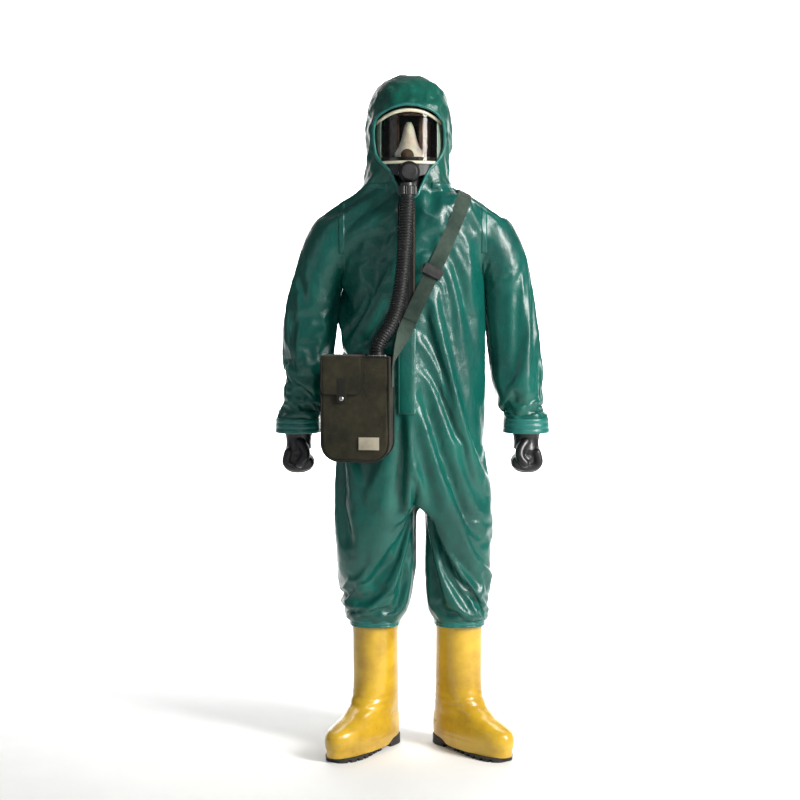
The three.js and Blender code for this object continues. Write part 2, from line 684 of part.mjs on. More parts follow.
// ---------- Bag, canister and shoulder strap ----------
function bag() {
  const carrier = new THREE.Group();
  carrier.position.set(...BAG_BACK, 0);
  carrier.rotation.z = rad(-BAG_TURN); // its own -Y points away from the body
  part.add(carrier);
  const half = BAG_WIDTH / 2;
  const outside = extrudedFront(roundedShape(-half, half, BAG_BOTTOM_Z, BAG_TOP_Z, 45, 3), -BAG_DEPTH, 0);
  const hollow = extrudedFront(
    roundedShape(-half + BAG_WALL, half - BAG_WALL, BAG_BOTTOM_Z + BAG_WALL, BAG_TOP_Z + 40, 42, 3),
    -BAG_DEPTH + BAG_WALL, -BAG_WALL,
  );
  add("bag_body", cut(outside, hollow), CANVAS_OLIVE, carrier);

  const flapX = -half + FLAP_WIDTH / 2;
  const lid = box(FLAP_WIDTH, BAG_DEPTH + 5, 3, flapX, -BAG_DEPTH / 2 - 2.5, BAG_TOP_Z + GAP + 1.5);
  const drop = box(FLAP_WIDTH, 3, 96, flapX, -BAG_DEPTH - 3.5, BAG_TOP_Z + GAP + 3 - 48);
  add("bag_flap", join(lid, drop), CANVAS_OLIVE, carrier);
  add("bag_patch", box(52, 1.2, 32, 32, -BAG_DEPTH - GAP - 0.6, BAG_BOTTOM_Z + 43), RIM_CREAM, carrier);

  // The canister stands in the bag under the hose's end, and its neck fills the union nut.
  const [x, y, z] = HOSE_ROUTE.at(-1);
  const profile = [
    [0, z - 200], [30, z - 200], [32, z - 196], [32, z - 42], [28, z - 34], [17, z - 26], [17, z - 1], [0, z - 1],
  ].map(([r, h]) => new THREE.Vector2(r, h));
  const canister = new THREE.LatheGeometry(profile, 28).rotateX(Math.PI / 2).translate(x, y, 0);
  add("filter_canister", canister, CANVAS_OLIVE);
}

// How far outside the coverall's body a point is, with 0 on the surface.
function bodyField([x, y, z]) {
  const [, half, front, back] = sectionAt(TORSO, THREE.MathUtils.clamp(z, TORSO[0][0], TORSO_TOP_Z));
  return (Math.abs(x) / half) ** SQUARE + (Math.abs(y) / (y < 0 ? front : back)) ** SQUARE - 1;
}

function bodySlope(p) {
  const h = 2;
  const slope = [0, 1, 2].map((k) => {
    const step = (d) => bodyField(p.toArray().map((v, i) => (i === k ? v + d : v)));
    return (step(h) - step(-h)) / (2 * h);
  });
  return new THREE.Vector3(...slope);
}

function laidOnBody(start) {
  const p = new THREE.Vector3(...start);
  for (let i = 0; i < 8; i++) {
    const slope = bodySlope(p);
    p.addScaledVector(slope, -bodyField(p.toArray()) / slope.lengthSq());
  }
  const normal = bodySlope(p).normalize();
  return { at: p.addScaledVector(normal, STRAP_OFFSET), normal };
}

function strap() {
  const bagPoint = (x, y) => new THREE.Vector3(x, y, 0).applyAxisAngle(Z_AXIS, rad(-BAG_TURN));
  const onBag = (side, off, y, z) => ({
    at: bagPoint(side * (BAG_WIDTH / 2 + off + STRAP_THICK / 2), y).add(new THREE.Vector3(...BAG_BACK, z)),
    normal: bagPoint(side, 0),
  });
  const route = [
    onBag(1, GAP, -26, STRAP_END_Z - 30),
    onBag(1, GAP, -26, STRAP_END_Z - 10),
    onBag(1, 5, -26, BAG_TOP_Z - 6),
    ...STRAP_ROUTE.map(laidOnBody),
    onBag(-1, 4, -2, STRAP_END_Z + 3),
    onBag(-1, GAP + 0.4, -34, STRAP_END_Z),
    onBag(-1, GAP, -60, STRAP_END_Z - 2),
  ];
  const line = new THREE.CatmullRomCurve3(route.map((r) => r.at), false, "centripetal");
  const facing = new THREE.CatmullRomCurve3(route.map((r) => r.normal), false, "centripetal");
  const frameAt = (t) => {
    const along = line.getTangent(t);
    const width = facing.getPoint(t).cross(along).normalize();
    return { at: line.getPoint(t), along, width, face: new THREE.Vector3().crossVectors(along, width).normalize() };
  };
  const steps = 64;
  const points = [];
  for (let i = 0; i <= steps; i++) {
    const { at, width, face } = frameAt(i / steps);
    for (const [w, f] of [
      [-1, -1],
      [1, -1],
      [1, 1],
      [-1, 1],
    ]) {
      points.push(
        at.clone().addScaledVector(width, (w * STRAP_WIDTH) / 2).addScaledVector(face, (f * STRAP_THICK) / 2),
      );
    }
  }
  const triangles = [];
  for (let i = 0; i < steps; i++) {
    for (let j = 0; j < 4; j++) {
      const [a, b] = [i * 4 + j, i * 4 + ((j + 1) % 4)];
      triangles.push([a, b, b + 4], [a, b + 4, a + 4]);
    }
  }
  const end = steps * 4;
  triangles.push([0, 2, 1], [0, 3, 2], [end, end + 1, end + 2], [end, end + 2, end + 3]);
  add("shoulder_strap", closedGeometry(points, triangles), WEBBING);

  const { at, along, width, face } = frameAt(ADJUSTER_AT);
  const loop = cut(box(STRAP_WIDTH + 12, 9, 26), box(STRAP_WIDTH + 2, STRAP_THICK + 3.6, 40));
  const seat = new THREE.Matrix4().makeBasis(width, face.clone(), along).setPosition(at);
  const adjuster = add("strap_adjuster", loop, PLASTIC_BLACK);
  adjuster.applyMatrix4(seat);
}

coverallBody();
frontZip();
hood();
mask();
hose();
for (const [side, name] of [
  [1, "left"],
  [-1, "right"],
]) {
  arm(side, name);
  leg(side, name);
  boot(side, name);
}
bag();
strap();

export default part;
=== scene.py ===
"""A chemical protective suit, worn upright: green coated fabric, black gloves, yellow boots, mask, hose and bag.

The coverall is one cloth, draped by simulation over a plain form that is removed again, and then parted
where the suit bends. Lengths in the tables are millimetres about the body's own upright line.
"""

import math

import bmesh
import bpy
import numpy as np
from mathutils import Matrix, Vector, noise
from mathutils.bvhtree import BVHTree
from mathutils.geometry import interpolate_bezier


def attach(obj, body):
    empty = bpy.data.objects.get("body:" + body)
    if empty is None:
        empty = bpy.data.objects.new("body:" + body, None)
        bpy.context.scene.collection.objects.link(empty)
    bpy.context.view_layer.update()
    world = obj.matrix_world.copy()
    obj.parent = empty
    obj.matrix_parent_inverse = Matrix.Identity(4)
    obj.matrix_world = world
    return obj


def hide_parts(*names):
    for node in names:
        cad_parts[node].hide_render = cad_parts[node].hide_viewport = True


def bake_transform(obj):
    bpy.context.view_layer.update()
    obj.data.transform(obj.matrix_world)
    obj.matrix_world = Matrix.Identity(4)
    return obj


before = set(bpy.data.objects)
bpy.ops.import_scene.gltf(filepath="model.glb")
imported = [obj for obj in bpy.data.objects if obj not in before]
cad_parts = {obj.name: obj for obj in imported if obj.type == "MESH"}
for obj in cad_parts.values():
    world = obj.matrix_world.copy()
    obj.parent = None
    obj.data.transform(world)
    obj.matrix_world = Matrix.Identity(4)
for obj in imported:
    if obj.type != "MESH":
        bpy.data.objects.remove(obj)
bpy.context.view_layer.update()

BODY_Y = 40.0  # the body's upright line stands this far behind the origin
HEAD_X = -10.0
PLACKET_X = -16.0
PLACKET_LOW, PLACKET_HIGH = 902.0, 1440.0
FLAP_TOP = 1122.0  # below this a green flap covers the zip
CROTCH_X = 19.0
NECK_Z, CUFF_Z, HEM_Z = 1484.0, 878.0, 343.0  # the hood's seam, and where the sleeves and the legs end
HAND_GAP = 222.0  # under the cuffs, cloth further out than this is cut away
# Each limb's cloth is turned by its distance past a slanting plane through the armpit, or through the crotch:
# the plane's direction, its place along that direction, and how far before it the limb's piece begins.
ARM_OUT, ARM_DOWN, ARM_PLANE, ARM_EARLY = 0.8, 0.6, -619, 12
LEG_OUT, LEG_DOWN, LEG_PLANE, LEG_EARLY = 0.574, 0.819, -535, 10
ELBOW_TOP, ELBOW_LOW, KNEE_TOP, KNEE_LOW = 1160, 974, 560, 400
SQUARE = 2.6  # how square an oval is: 2 is a plain oval
CLOTH_STEP, QUICK_STEP = 11.0, 16.0
SIDES = ((1, "left"), (-1, "right"))
SHIFT = np.array((0, BODY_Y, 0))

# Height, half width, reach to the front, reach to the back.
TORSO = [
    (668, 214, 128, 138),
    (690, 215, 132, 140),
    (780, 207, 142, 145),
    (880, 195, 152, 150),
    (960, 184, 148.6, 150),
    (1060, 174, 144.3, 150),
    (1180, 173, 139.1, 150),
    (1290, 181, 134.4, 148),
    (1370, 187, 131, 140),
    (1425, 187, 128.6, 126),
    (1447, 178, 124.5, 115),
    (1464, 140, 120, 106),
    (1478, 108, 116, 98),
    (1500, 100, 112, 96),
]
HOOD = [
    (1450, 112, 112, 98),
    (1480, 108, 115, 100),
    (1505, 106, 116, 100),
    (1541, 106, 118, 106),
    (1600, 109, 131, 114),
    (1650, 112, 138, 121),
    (1690, 108, 138, 119),
    (1722, 95, 125, 108),
    (1748, 75, 98, 88),
    (1768, 46, 54, 56),
    (1777, 16, 18, 18),
]
# Inner x, inner z, outer x, outer z, half depth.
SLEEVE = [
    (140, 1290, 140, 1440, 76),
    (189, 1285, 190, 1446, 80),
    (194, 1274, 234, 1384, 79),
    (199, 1246, 270, 1306, 75),
    (201, 1205, 302, 1226, 71),
    (203, 1160, 318, 1160, 68),
    (206, 1066, 331, 1066, 66),
    (212, 972, 340, 972, 64),
    (227, 925, 348, 925, 61),
    (238, 880, 358, 880, 60),
    (238, 866, 360, 866, 60),
]
RIGHT_INNER = [(870, 243), (925, 236), (980, 222), (1060, 208), (1160, 203), (1210, 201), (1284, 190)]
# Height, and how far out the line between the body and a sleeve runs.
ARM_LINE = [(866, 218), (925, 210), (972, 198), (1066, 190), (1160, 188), (1246, 187), (1300, 186)]
# Height, inner x, outer x, reach to the front, reach to the back.
LEFT_LEG = [
    (330, 59, 190, 71, 75),
    (349, 57, 193, 74, 78),
    (381, 42, 210, 94, 98),
    (480, 34, 222, 104, 110),
    (580, 34, 215, 110, 116),
    (688, 28, 216, 120, 128),
    (720, 27, 212, 120, 128),
]
RIGHT_LEG = [
    (330, 35, 163, 71, 75),
    (349, 32, 168, 74, 78),
    (381, 16, 180, 94, 98),
    (480, -8, 190, 104, 110),
    (580, -8, 209, 110, 116),
    (688, -9, 213, 120, 128),
    (720, -8, 210, 120, 128),
]
# The form that holds the cloth up while it drapes.
FORM_TORSO = [
    (700, 160, 95, 105),
    (800, 178, 112, 122),
    (900, 176, 112, 118),
    (1000, 162, 110, 104),
    (1100, 160, 110, 104),
    (1200, 161, 112, 110),
    (1300, 168, 112, 112),
    (1380, 178, 112, 110),
    (1420, 174, 106, 102),
    (1442, 158, 94, 92),
    (1460, 122, 84, 84),
    (1478, 92, 80, 80),
    (1492, 74, 76, 76),
]
FORM_HEAD = [
    (1480, 66, 70, 74),
    (1530, 84, 88, 84),
    (1580, 96, 104, 98),
    (1640, 102, 116, 110),
    (1690, 99, 116, 108),
    (1722, 86, 104, 98),
    (1748, 64, 78, 78),
    (1764, 34, 40, 42),
]
FORM_ARM = [(186, 1365, 73), (230, 1300, 62), (250, 1200, 50), (265, 1066, 46), (288, 930, 43), (300, 850, 38)]
FORM_LEG = [(112, 720, 82), (118, 600, 76), (122, 480, 66), (124, 400, 58), (124, 300, 52)]

HOSE_ROUTE = [
    (-14, -156, 1467),
    (-14, -156, 1456),
    (-14.5, -158, 1436),
    (-17, -164, 1395),
    (-20, -171, 1350),
    (-24, -176, 1300),
    (-29, -180, 1250),
    (-36, -183, 1200),
    (-46, -186, 1160),
    (-62, -188.5, 1124),
    (-80, -190, 1096),
    (-90.5, -190.5, 1074),
    (-91.5, -190.5, 1058),
    (-91.5, -190.5, 1048),
]
STRAP_ROUTE = [
    (-28, -148, 1096),
    (2, -146, 1165),
    (36, -142, 1235),
    (70, -134, 1305),
    (100, -124, 1370),
    (121, -105, 1428),
    (131, -70, 1458),
    (134, -20, 1466),
    (132, 34, 1464),
    (124, 84, 1442),
    (104, 116, 1405),
    (74, 140, 1352),
    (36, 148, 1292),
    (-8, 150, 1232),
    (-54, 149, 1176),
    (-98, 144, 1126),
    (-136, 130, 1084),
    (-163, 106, 1052),
    (-180, 70, 1030),
    (-187, 20, 1016),
    (-186, -34, 1010),
]
BAG_BACK = (-134, -141)
BAG_TURN = math.radians(-8)
BAG_WIDTH, BAG_DEPTH, BAG_BOTTOM, BAG_TOP = 170, 88, 790, 1052


# ---------- Meshes ----------
def linked(name, data):
    obj = bpy.data.objects.new(name, data)
    bpy.context.scene.collection.objects.link(obj)
    return obj


def at(x, y, z):
    """A place in metres about the origin, from millimetres about the body's line."""
    return (x * 0.001, (y + BODY_Y) * 0.001, z * 0.001)


def to_body(p):
    """A place in millimetres about the body's line, from metres about the origin."""
    return np.array(p) * 1000 - SHIFT


def make(name, points, faces, smooth=True):
    """A mesh object from points in millimetres about the body's line."""
    co = np.asarray(points, float).reshape(-1, 3) + SHIFT
    mesh = bpy.data.meshes.new(name)
    mesh.from_pydata((co * 0.001).tolist(), [], [list(map(int, f)) for f in faces])
    mesh.update()
    mesh.shade_smooth() if smooth else mesh.shade_flat()
    return linked(name, mesh)


def fix_normals(obj):
    bm = bmesh.new()
    bm.from_mesh(obj.data)
    bmesh.ops.recalc_face_normals(bm, faces=bm.faces)
    bm.to_mesh(obj.data)
    bm.free()
    return obj


def loft(name, rings, cap=True, smooth=True, wrap=False):
    """A surface through closed rings of equal count; wrap joins the last ring to the first."""
    count, total = len(rings[0]), len(rings)
    points = np.concatenate([np.asarray(r, float) for r in rings])
    faces = []
    for i in range(total if wrap else total - 1):
        a, b = i * count, ((i + 1) % total) * count
        for j in range(count):
            k = (j + 1) % count
            faces.append((a + j, a + k, b + k, b + j))
    if cap and not wrap:
        faces.append(list(range(count))[::-1])
        faces.append([(total - 1) * count + j for j in range(count)])
    return fix_normals(make(name, points, faces, smooth))


def bulge(v, power):
    return np.sign(v) * np.abs(v) ** (2 / power)


def oval(centre, half, front, back, count=48, power=SQUARE, across=(1, 0, 0)):
    t = np.linspace(0, 2 * math.pi, count, endpoint=False)
    c, s = bulge(np.cos(t), power), bulge(np.sin(t), power)
    depth = np.where(s < 0, front, back) * s
    return np.array(centre, float) + np.outer(c * half, across) + np.outer(depth, (0, 1, 0))


def resample(table, steps):
    """A table of rows passed smoothly through its rows, with `steps` rows between each pair."""
    t = np.asarray(table, float)
    pad = np.vstack([2 * t[0] - t[1], t, 2 * t[-1] - t[-2]])
    rows = []
    for i in range(1, len(pad) - 2):
        for u in np.linspace(0, 1, steps, endpoint=False):
            p0, p1, p2, p3 = pad[i - 1 : i + 3]
            a = 2 * p1 + (p2 - p0) * u + (2 * p0 - 5 * p1 + 4 * p2 - p3) * u**2
            rows.append(0.5 * (a + (3 * p1 - p0 - 3 * p2 + p3) * u**3))
    rows.append(t[-1])
    return np.array(rows)


def between(table, z):
    t = np.asarray(table, float)
    return [np.interp(z, t[:, 0], t[:, k]) for k in range(1, t.shape[1])]


def body_loft(name, table, x=0.0, count=64):
    return loft(name, [oval((x, 0, z), half, front, back, count) for z, half, front, back in table])


def tube(name, path, radius, segments=12, flat=1.0, up=(0, 0, 1), cap=True, wrap=False):
    """A round tube along a path of points; radius is a number or one per point. flat squeezes it along `up`."""
    path = np.asarray(path, float)
    radius = np.broadcast_to(np.asarray(radius, float), (len(path),))
    along = np.gradient(path, axis=0)
    if wrap:
        along = np.roll(path, -1, 0) - np.roll(path, 1, 0)
    along /= np.linalg.norm(along, axis=1)[:, None]
    side = np.cross(along[0], up)
    if np.linalg.norm(side) < 0.1:
        side = np.cross(along[0], (0, 1, 0))
    rings = []
    t = np.linspace(0, 2 * math.pi, segments, endpoint=False)
    for p, a, r in zip(path, along, radius):
        side = side - a * (side @ a)
        side /= np.linalg.norm(side)
        over = np.cross(side, a)
        rings.append(p + r * (np.outer(np.cos(t), side) + flat * np.outer(np.sin(t), over)))
    return loft(name, rings, cap=cap, wrap=wrap)


def band(name, path, facing, width, thick, across=6):
    """A strap along a path: facing is the outward normal at each point."""
    path, facing = np.asarray(path, float), np.asarray(facing, float)
    along = np.gradient(path, axis=0)
    along /= np.linalg.norm(along, axis=1)[:, None]
    rings = []
    for p, n, a in zip(path, facing, along):
        w = np.cross(n, a)
        w /= np.linalg.norm(w)
        n = np.cross(a, w)
        u = np.linspace(-0.5, 0.5, across)
        top = [p + w * width * x + n * thick * (0.5 - 2 * max(0, abs(x) - 0.46) / 0.08 * 0.3) for x in u]
        low = [p + w * width * x - n * thick / 2 for x in u[::-1]]
        rings.append(top + low)
    return loft(name, rings)


def merged(name, objects):
    bm = bmesh.new()
    for o in objects:
        bm.from_mesh(o.data)
    mesh = bpy.data.meshes.new(name)
    bm.to_mesh(mesh)
    bm.free()
    for o in objects:
        bpy.data.objects.remove(o)
    return linked(name, mesh)


def baked(obj):
    """The object with its modifiers worked into its mesh."""
    bpy.context.view_layer.update()
    made = obj.evaluated_get(bpy.context.evaluated_depsgraph_get())
    mesh = bpy.data.meshes.new_from_object(made)
    obj.modifiers.clear()
    obj.data = mesh
    return obj


def remeshed(obj, size, smoothing=4, factor=0.5):
    m = obj.modifiers.new("union", "REMESH")
    m.mode, m.voxel_size, m.use_smooth_shade = "VOXEL", size, True
    if smoothing:
        s = obj.modifiers.new("smooth", "SMOOTH")
        s.factor, s.iterations = factor, smoothing
    return baked(obj)


def bevelled(obj, width, segments=3):
    m = obj.modifiers.new("bevel", "BEVEL")
    m.width, m.segments, m.limit_method, m.angle_limit = width, segments, "ANGLE", math.radians(35)
    return baked(obj)


def edges_split(obj, degrees):
    """Sharp edges where faces meet at more than the angle."""
    m = obj.modifiers.new("edges", "EDGE_SPLIT")
    m.split_angle = math.radians(degrees)
    return baked(obj)


def box(name, size, middle=(0, 0, 0), bevel=0.0):
    bm = bmesh.new()
    bmesh.ops.create_cube(bm, size=1.0)
    bmesh.ops.scale(bm, vec=Vector(size), verts=bm.verts)
    bmesh.ops.translate(bm, vec=Vector(middle) + Vector((0, BODY_Y, 0)), verts=bm.verts)
    bmesh.ops.scale(bm, vec=Vector((0.001,) * 3), verts=bm.verts)
    mesh = bpy.data.meshes.new(name)
    bm.to_mesh(mesh)
    bm.free()
    obj = linked(name, mesh)
    if bevel:
        bevelled(obj, bevel * 0.001)
    obj.data.shade_smooth()
    return obj


def verts_of(obj):
    co = np.empty(len(obj.data.vertices) * 3)
    obj.data.vertices.foreach_get("co", co)
    return co.reshape(-1, 3)


def set_verts(obj, co):
    obj.data.vertices.foreach_set("co", np.asarray(co).ravel())
    obj.data.update()


def body_verts(obj):
    """The mesh's points in millimetres about the body's line."""
    return verts_of(obj) * 1000 - SHIFT


def set_body_verts(obj, co):
    set_verts(obj, (co + SHIFT) * 0.001)


def evened(rows, rounds=1):
    """Draws each inner row towards its two neighbours, in place."""
    for _ in range(rounds):
        rows[1:-1] = 0.5 * rows[1:-1] + 0.25 * (rows[:-2] + rows[2:])


# ---------- Materials ----------
def material(name, color, rough=0.5, metal=0.0, coat=0.0, **shader):
    mat = bpy.data.materials.new(name)
    mat.use_nodes = True
    s = mat.node_tree.nodes["Principled BSDF"]
    s.inputs["Base Color"].default_value = (*color, 1)
    s.inputs["Roughness"].default_value = rough
    s.inputs["Metallic"].default_value = metal
    s.inputs["Coat Weight"].default_value = coat
    for key, value in shader.items():
        s.inputs[key.replace("_", " ")].default_value = value
    return mat


class Nodes:
    """Short ways to add procedural detail to a material."""

    def __init__(self, mat):
        self.tree = mat.node_tree
        self.shader = self.tree.nodes["Principled BSDF"]
        self.place = self.tree.nodes.new("ShaderNodeTexCoord").outputs["Object"]

    def new(self, kind, **values):
        node = self.tree.nodes.new(kind)
        for key, value in values.items():
            if key in node.inputs:
                node.inputs[key].default_value = value
            else:
                setattr(node, key, value)
        return node

    def link(self, a, b):
        self.tree.links.new(a, b)

    def noise(self, scale, detail=4.0, rough=0.55, stretch=None):
        n = self.new("ShaderNodeTexNoise", Scale=scale, Detail=detail, Roughness=rough)
        source = self.place
        if stretch:
            m = self.new("ShaderNodeMapping", Scale=stretch)
            self.link(source, m.inputs["Vector"])
            source = m.outputs["Vector"]
        self.link(source, n.inputs["Vector"])
        return n.outputs["Fac"]

    def weave(self, pitch):
        """Crossing threads, about `pitch` metres apart."""
        waves = []
        for axis in ("X", "Z"):
            w = self.new("ShaderNodeTexWave", Scale=1 / pitch / 6.2832 * 2, bands_direction=axis)
            self.link(self.place, w.inputs["Vector"])
            waves.append(w.outputs["Fac"])
        m = self.new("ShaderNodeMath", operation="MULTIPLY")
        self.link(waves[0], m.inputs[0])
        self.link(waves[1], m.inputs[1])
        return m.outputs["Value"]

    def ramp(self, source, low, high, a=0.35, b=0.65):
        r = self.new("ShaderNodeValToRGB")
        r.color_ramp.elements[0].position, r.color_ramp.elements[1].position = a, b
        r.color_ramp.elements[0].color = (*low, 1)
        r.color_ramp.elements[1].color = (*high, 1)
        self.link(source, r.inputs["Fac"])
        return r.outputs["Color"]

    def colour(self, source, low, high, a=0.35, b=0.65):
        self.link(self.ramp(source, low, high, a, b), self.shader.inputs["Base Color"])

    def rough(self, source, low, high):
        m = self.new("ShaderNodeMapRange")
        m.inputs["To Min"].default_value, m.inputs["To Max"].default_value = low, high
        self.link(source, m.inputs["Value"])
        self.link(m.outputs["Result"], self.shader.inputs["Roughness"])

    def bumps(self, *layers):
        """Each layer is (source, distance in metres, strength), laid one on another."""
        last = None
        for source, distance, strength in layers:
            b = self.new("ShaderNodeBump", Distance=distance, Strength=strength)
            self.link(source, b.inputs["Height"])
            if last:
                self.link(last, b.inputs["Normal"])
            last = b.outputs["Normal"]
        self.link(last, self.shader.inputs["Normal"])
        if self.shader.inputs["Coat Weight"].default_value > 0:
            self.link(last, self.shader.inputs["Coat Normal"])


def fabric_green(name, low, high, crinkle=0.3):
    mat = material(name, high, 0.3, coat=0.15, Coat_Roughness=0.16, Specular_IOR_Level=0.4)
    n = Nodes(mat)
    n.colour(n.noise(7, 5, 0.6), low, high, 0.3, 0.7)
    n.rough(n.noise(18, 3, 0.6), 0.24, 0.4)
    n.bumps(
        (n.noise(11, 3, 0.5, (1, 1, 0.45)), 0.012, 0.35),
        (n.noise(38, 4, 0.55), 0.004, crinkle),
        (n.noise(90, 4, 0.6), 0.0016, crinkle),
        (n.noise(220, 3, 0.6), 0.0006, 0.2),
        (n.weave(0.0016), 0.0002, 0.35),
    )
    return mat


def rubber(name, low, high, rough=0.45, coat=0.0):
    mat = material(name, high, rough, coat=coat, Coat_Roughness=0.2, Specular_IOR_Level=0.4)
    n = Nodes(mat)
    n.colour(n.noise(30, 5, 0.6), low, high)
    n.rough(n.noise(60, 3, 0.6), rough - 0.1, rough + 0.12)
    n.bumps((n.noise(45, 4, 0.5), 0.002, 0.3), (n.noise(420, 2, 0.6), 0.0003, 0.25))
    return mat


def canvas(name, low, high, pitch=0.0014):
    mat = material(name, high, 0.85, Sheen_Weight=0.06, Sheen_Roughness=0.5, Specular_IOR_Level=0.25)
    n = Nodes(mat)
    n.colour(n.noise(14, 6, 0.65), low, high)
    n.bumps((n.noise(20, 4, 0.5), 0.006, 0.4), (n.weave(pitch), 0.0005, 0.8), (n.noise(300, 3, 0.7), 0.0005, 0.4))
    return mat


GREEN = fabric_green("suit_green", (0.001, 0.048, 0.04), (0.002, 0.095, 0.073))
GREEN_HOOD = fabric_green("suit_green_hood", (0.001, 0.036, 0.028), (0.004, 0.1, 0.07), 0.8)
GREEN_SEAM = fabric_green("suit_green_seam", (0.002, 0.055, 0.046), (0.004, 0.105, 0.084), 0.15)
GREEN_TRIM = fabric_green("suit_green_trim", (0.004, 0.085, 0.075), (0.01, 0.15, 0.125))
BLACK = rubber("black_rubber", (0.003, 0.003, 0.003), (0.009, 0.009, 0.01), 0.42)
GLOVE = rubber("glove_rubber", (0.003, 0.003, 0.004), (0.01, 0.01, 0.012), 0.38, coat=0.2)
SOLE = rubber("sole_rubber", (0.012, 0.011, 0.01), (0.03, 0.028, 0.025), 0.6)
PLACKET = canvas("placket_fabric", (0.003, 0.004, 0.004), (0.008, 0.009, 0.009))
OLIVE = canvas("bag_canvas", (0.009, 0.009, 0.004), (0.03, 0.026, 0.013))
OLIVE_EDGE = canvas("bag_binding", (0.005, 0.006, 0.004), (0.013, 0.012, 0.008), 0.0025)
PATCH = canvas("tan_patch", (0.26, 0.23, 0.17), (0.42, 0.38, 0.29))
WEB = canvas("webbing", (0.014, 0.03, 0.024), (0.045, 0.065, 0.05), 0.0022)


def boot_material():
    mat = material("boot_yellow", (0.6, 0.36, 0.02), 0.3, coat=0.3, Coat_Roughness=0.15)
    n = Nodes(mat)
    dirt = n.noise(9, 6, 0.65)
    n.colour(dirt, (0.36, 0.2, 0.01), (0.6, 0.37, 0.02), 0.3, 0.6)
    n.rough(n.noise(26, 4, 0.6), 0.2, 0.42)
    n.bumps((n.noise(24, 3, 0.5), 0.003, 0.25), (n.noise(300, 2, 0.6), 0.0003, 0.2))
    return mat


BOOT = boot_material()


def plain(name, low, high, rough, scale=60, bump=0.25, **shader):
    mat = material(name, high, rough, **shader)
    n = Nodes(mat)
    n.colour(n.noise(scale, 4, 0.6), low, high)
    n.rough(n.noise(scale * 1.6, 3, 0.6), max(0.04, rough - 0.08), rough + 0.1)
    n.bumps((n.noise(scale * 7, 3, 0.6), 0.0003, bump))
    return mat


CREAM = plain("cream_rim", (0.5, 0.46, 0.33), (0.72, 0.68, 0.52), 0.32, coat=0.2)
SIDE = plain("mask_side", (0.11, 0.17, 0.13), (0.2, 0.27, 0.21), 0.35, coat=0.2)
SILICONE = plain("silicone", (0.62, 0.6, 0.56), (0.8, 0.78, 0.74), 0.4, Subsurface_Weight=0.2)
DARK = plain("inner_rubber", (0.03, 0.017, 0.009), (0.075, 0.042, 0.022), 0.6)
PLASTIC = plain("black_plastic", (0.012, 0.012, 0.012), (0.03, 0.03, 0.03), 0.35)
STEEL = plain("steel", (0.36, 0.36, 0.34), (0.6, 0.6, 0.57), 0.3, metal=1.0)
STITCH = plain("stitching", (0.02, 0.12, 0.1), (0.04, 0.2, 0.16), 0.7, scale=400)
STITCH_TAN = plain("stitching_tan", (0.12, 0.1, 0.07), (0.2, 0.18, 0.12), 0.8, scale=400)
LENS = material("lens", (0.93, 0.9, 0.82), 0.03, IOR=1.25, Transmission_Weight=1.0)
lens_nodes = Nodes(LENS)
lens_nodes.rough(lens_nodes.noise(90, 3, 0.6), 0.02, 0.06)


def painted(obj, mat):
    obj.data.materials.clear()
    obj.data.materials.append(mat)


def finish_piece(obj, mat, body, slot_name, *nodes):
    """Gives a piece its material and its body, and hides the CAD nodes that it stands for. Its slot name is not used.
    """
    painted(obj, mat)
    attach(obj, body)
    if nodes:
        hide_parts(*nodes)
    return obj


# ---------- The coverall, before it drapes ----------
def right_inner(z):
    return np.interp(z, [r[0] for r in RIGHT_INNER], [r[1] for r in RIGHT_INNER])


def sleeve_loft(side):
    rings = []
    for xi, zi, xo, zo, depth in resample(SLEEVE, 3):
        xi = xi if side > 0 or xi < 150 else max(xi, right_inner(zi))
        a, b = np.array((side * xi, 0, zi)), np.array((side * xo, 0, zo))
        across = (b - a) / np.linalg.norm(b - a)
        half = np.linalg.norm(b - a) / 2
        rings.append(oval((a + b) / 2, half, depth, depth, 40, 2.15, across))
    return loft("sleeve", rings)


def leg_loft(side):
    table = resample(LEFT_LEG if side > 0 else RIGHT_LEG, 3)
    rings = [
        oval((side * (xi + xo) / 2, 0, z), (xo - xi) / 2, front, back, 48) for z, xi, xo, front, back in table
    ]
    return loft("leg", rings)


def face_outline():
    """The hood's opening, as points in x and z: an arch over the visor that narrows to the throat."""
    half, foot, rise = 91, 1638, 49
    arch = [(HEAD_X - half + 2 * half * u, foot + rise * math.sin(math.pi * u) ** 0.55) for u in np.linspace(0, 1, 33)]
    left = [(81, 1615), (80, 1590), (76, 1565), (64, 1545), (46, 1532), (36, 1516), (27, 1496), (17, 1474), (8, 1452)]
    right = [
        (-30, 1452), (-38, 1474), (-46, 1496), (-55, 1516), (-66, 1532), (-86, 1545), (-96, 1565), (-100, 1590),
        (-101, 1615),
    ]
    return np.array(arch + left + right)


def inside(points, outline):
    hit = np.zeros(len(points), bool)
    x, z = points[:, 0], points[:, 1]
    for (x1, z1), (x2, z2) in zip(outline, np.roll(outline, -1, 0)):
        crosses = (z1 > z) != (z2 > z)
        with np.errstate(divide="ignore", invalid="ignore"):
            hit ^= crosses & (x < (x2 - x1) * (z - z1) / (z2 - z1) + x1)
    return hit


def onto_outline(p, outline):
    """The nearest point on the outline."""
    best, least = None, math.inf
    for a, b in zip(outline, np.roll(outline, -1, 0)):
        d = b - a
        u = np.clip(((p - a) @ d) / (d @ d), 0, 1)
        q = a + d * u
        r = np.linalg.norm(p - q)
        if r < least:
            best, least = q, r
    return best


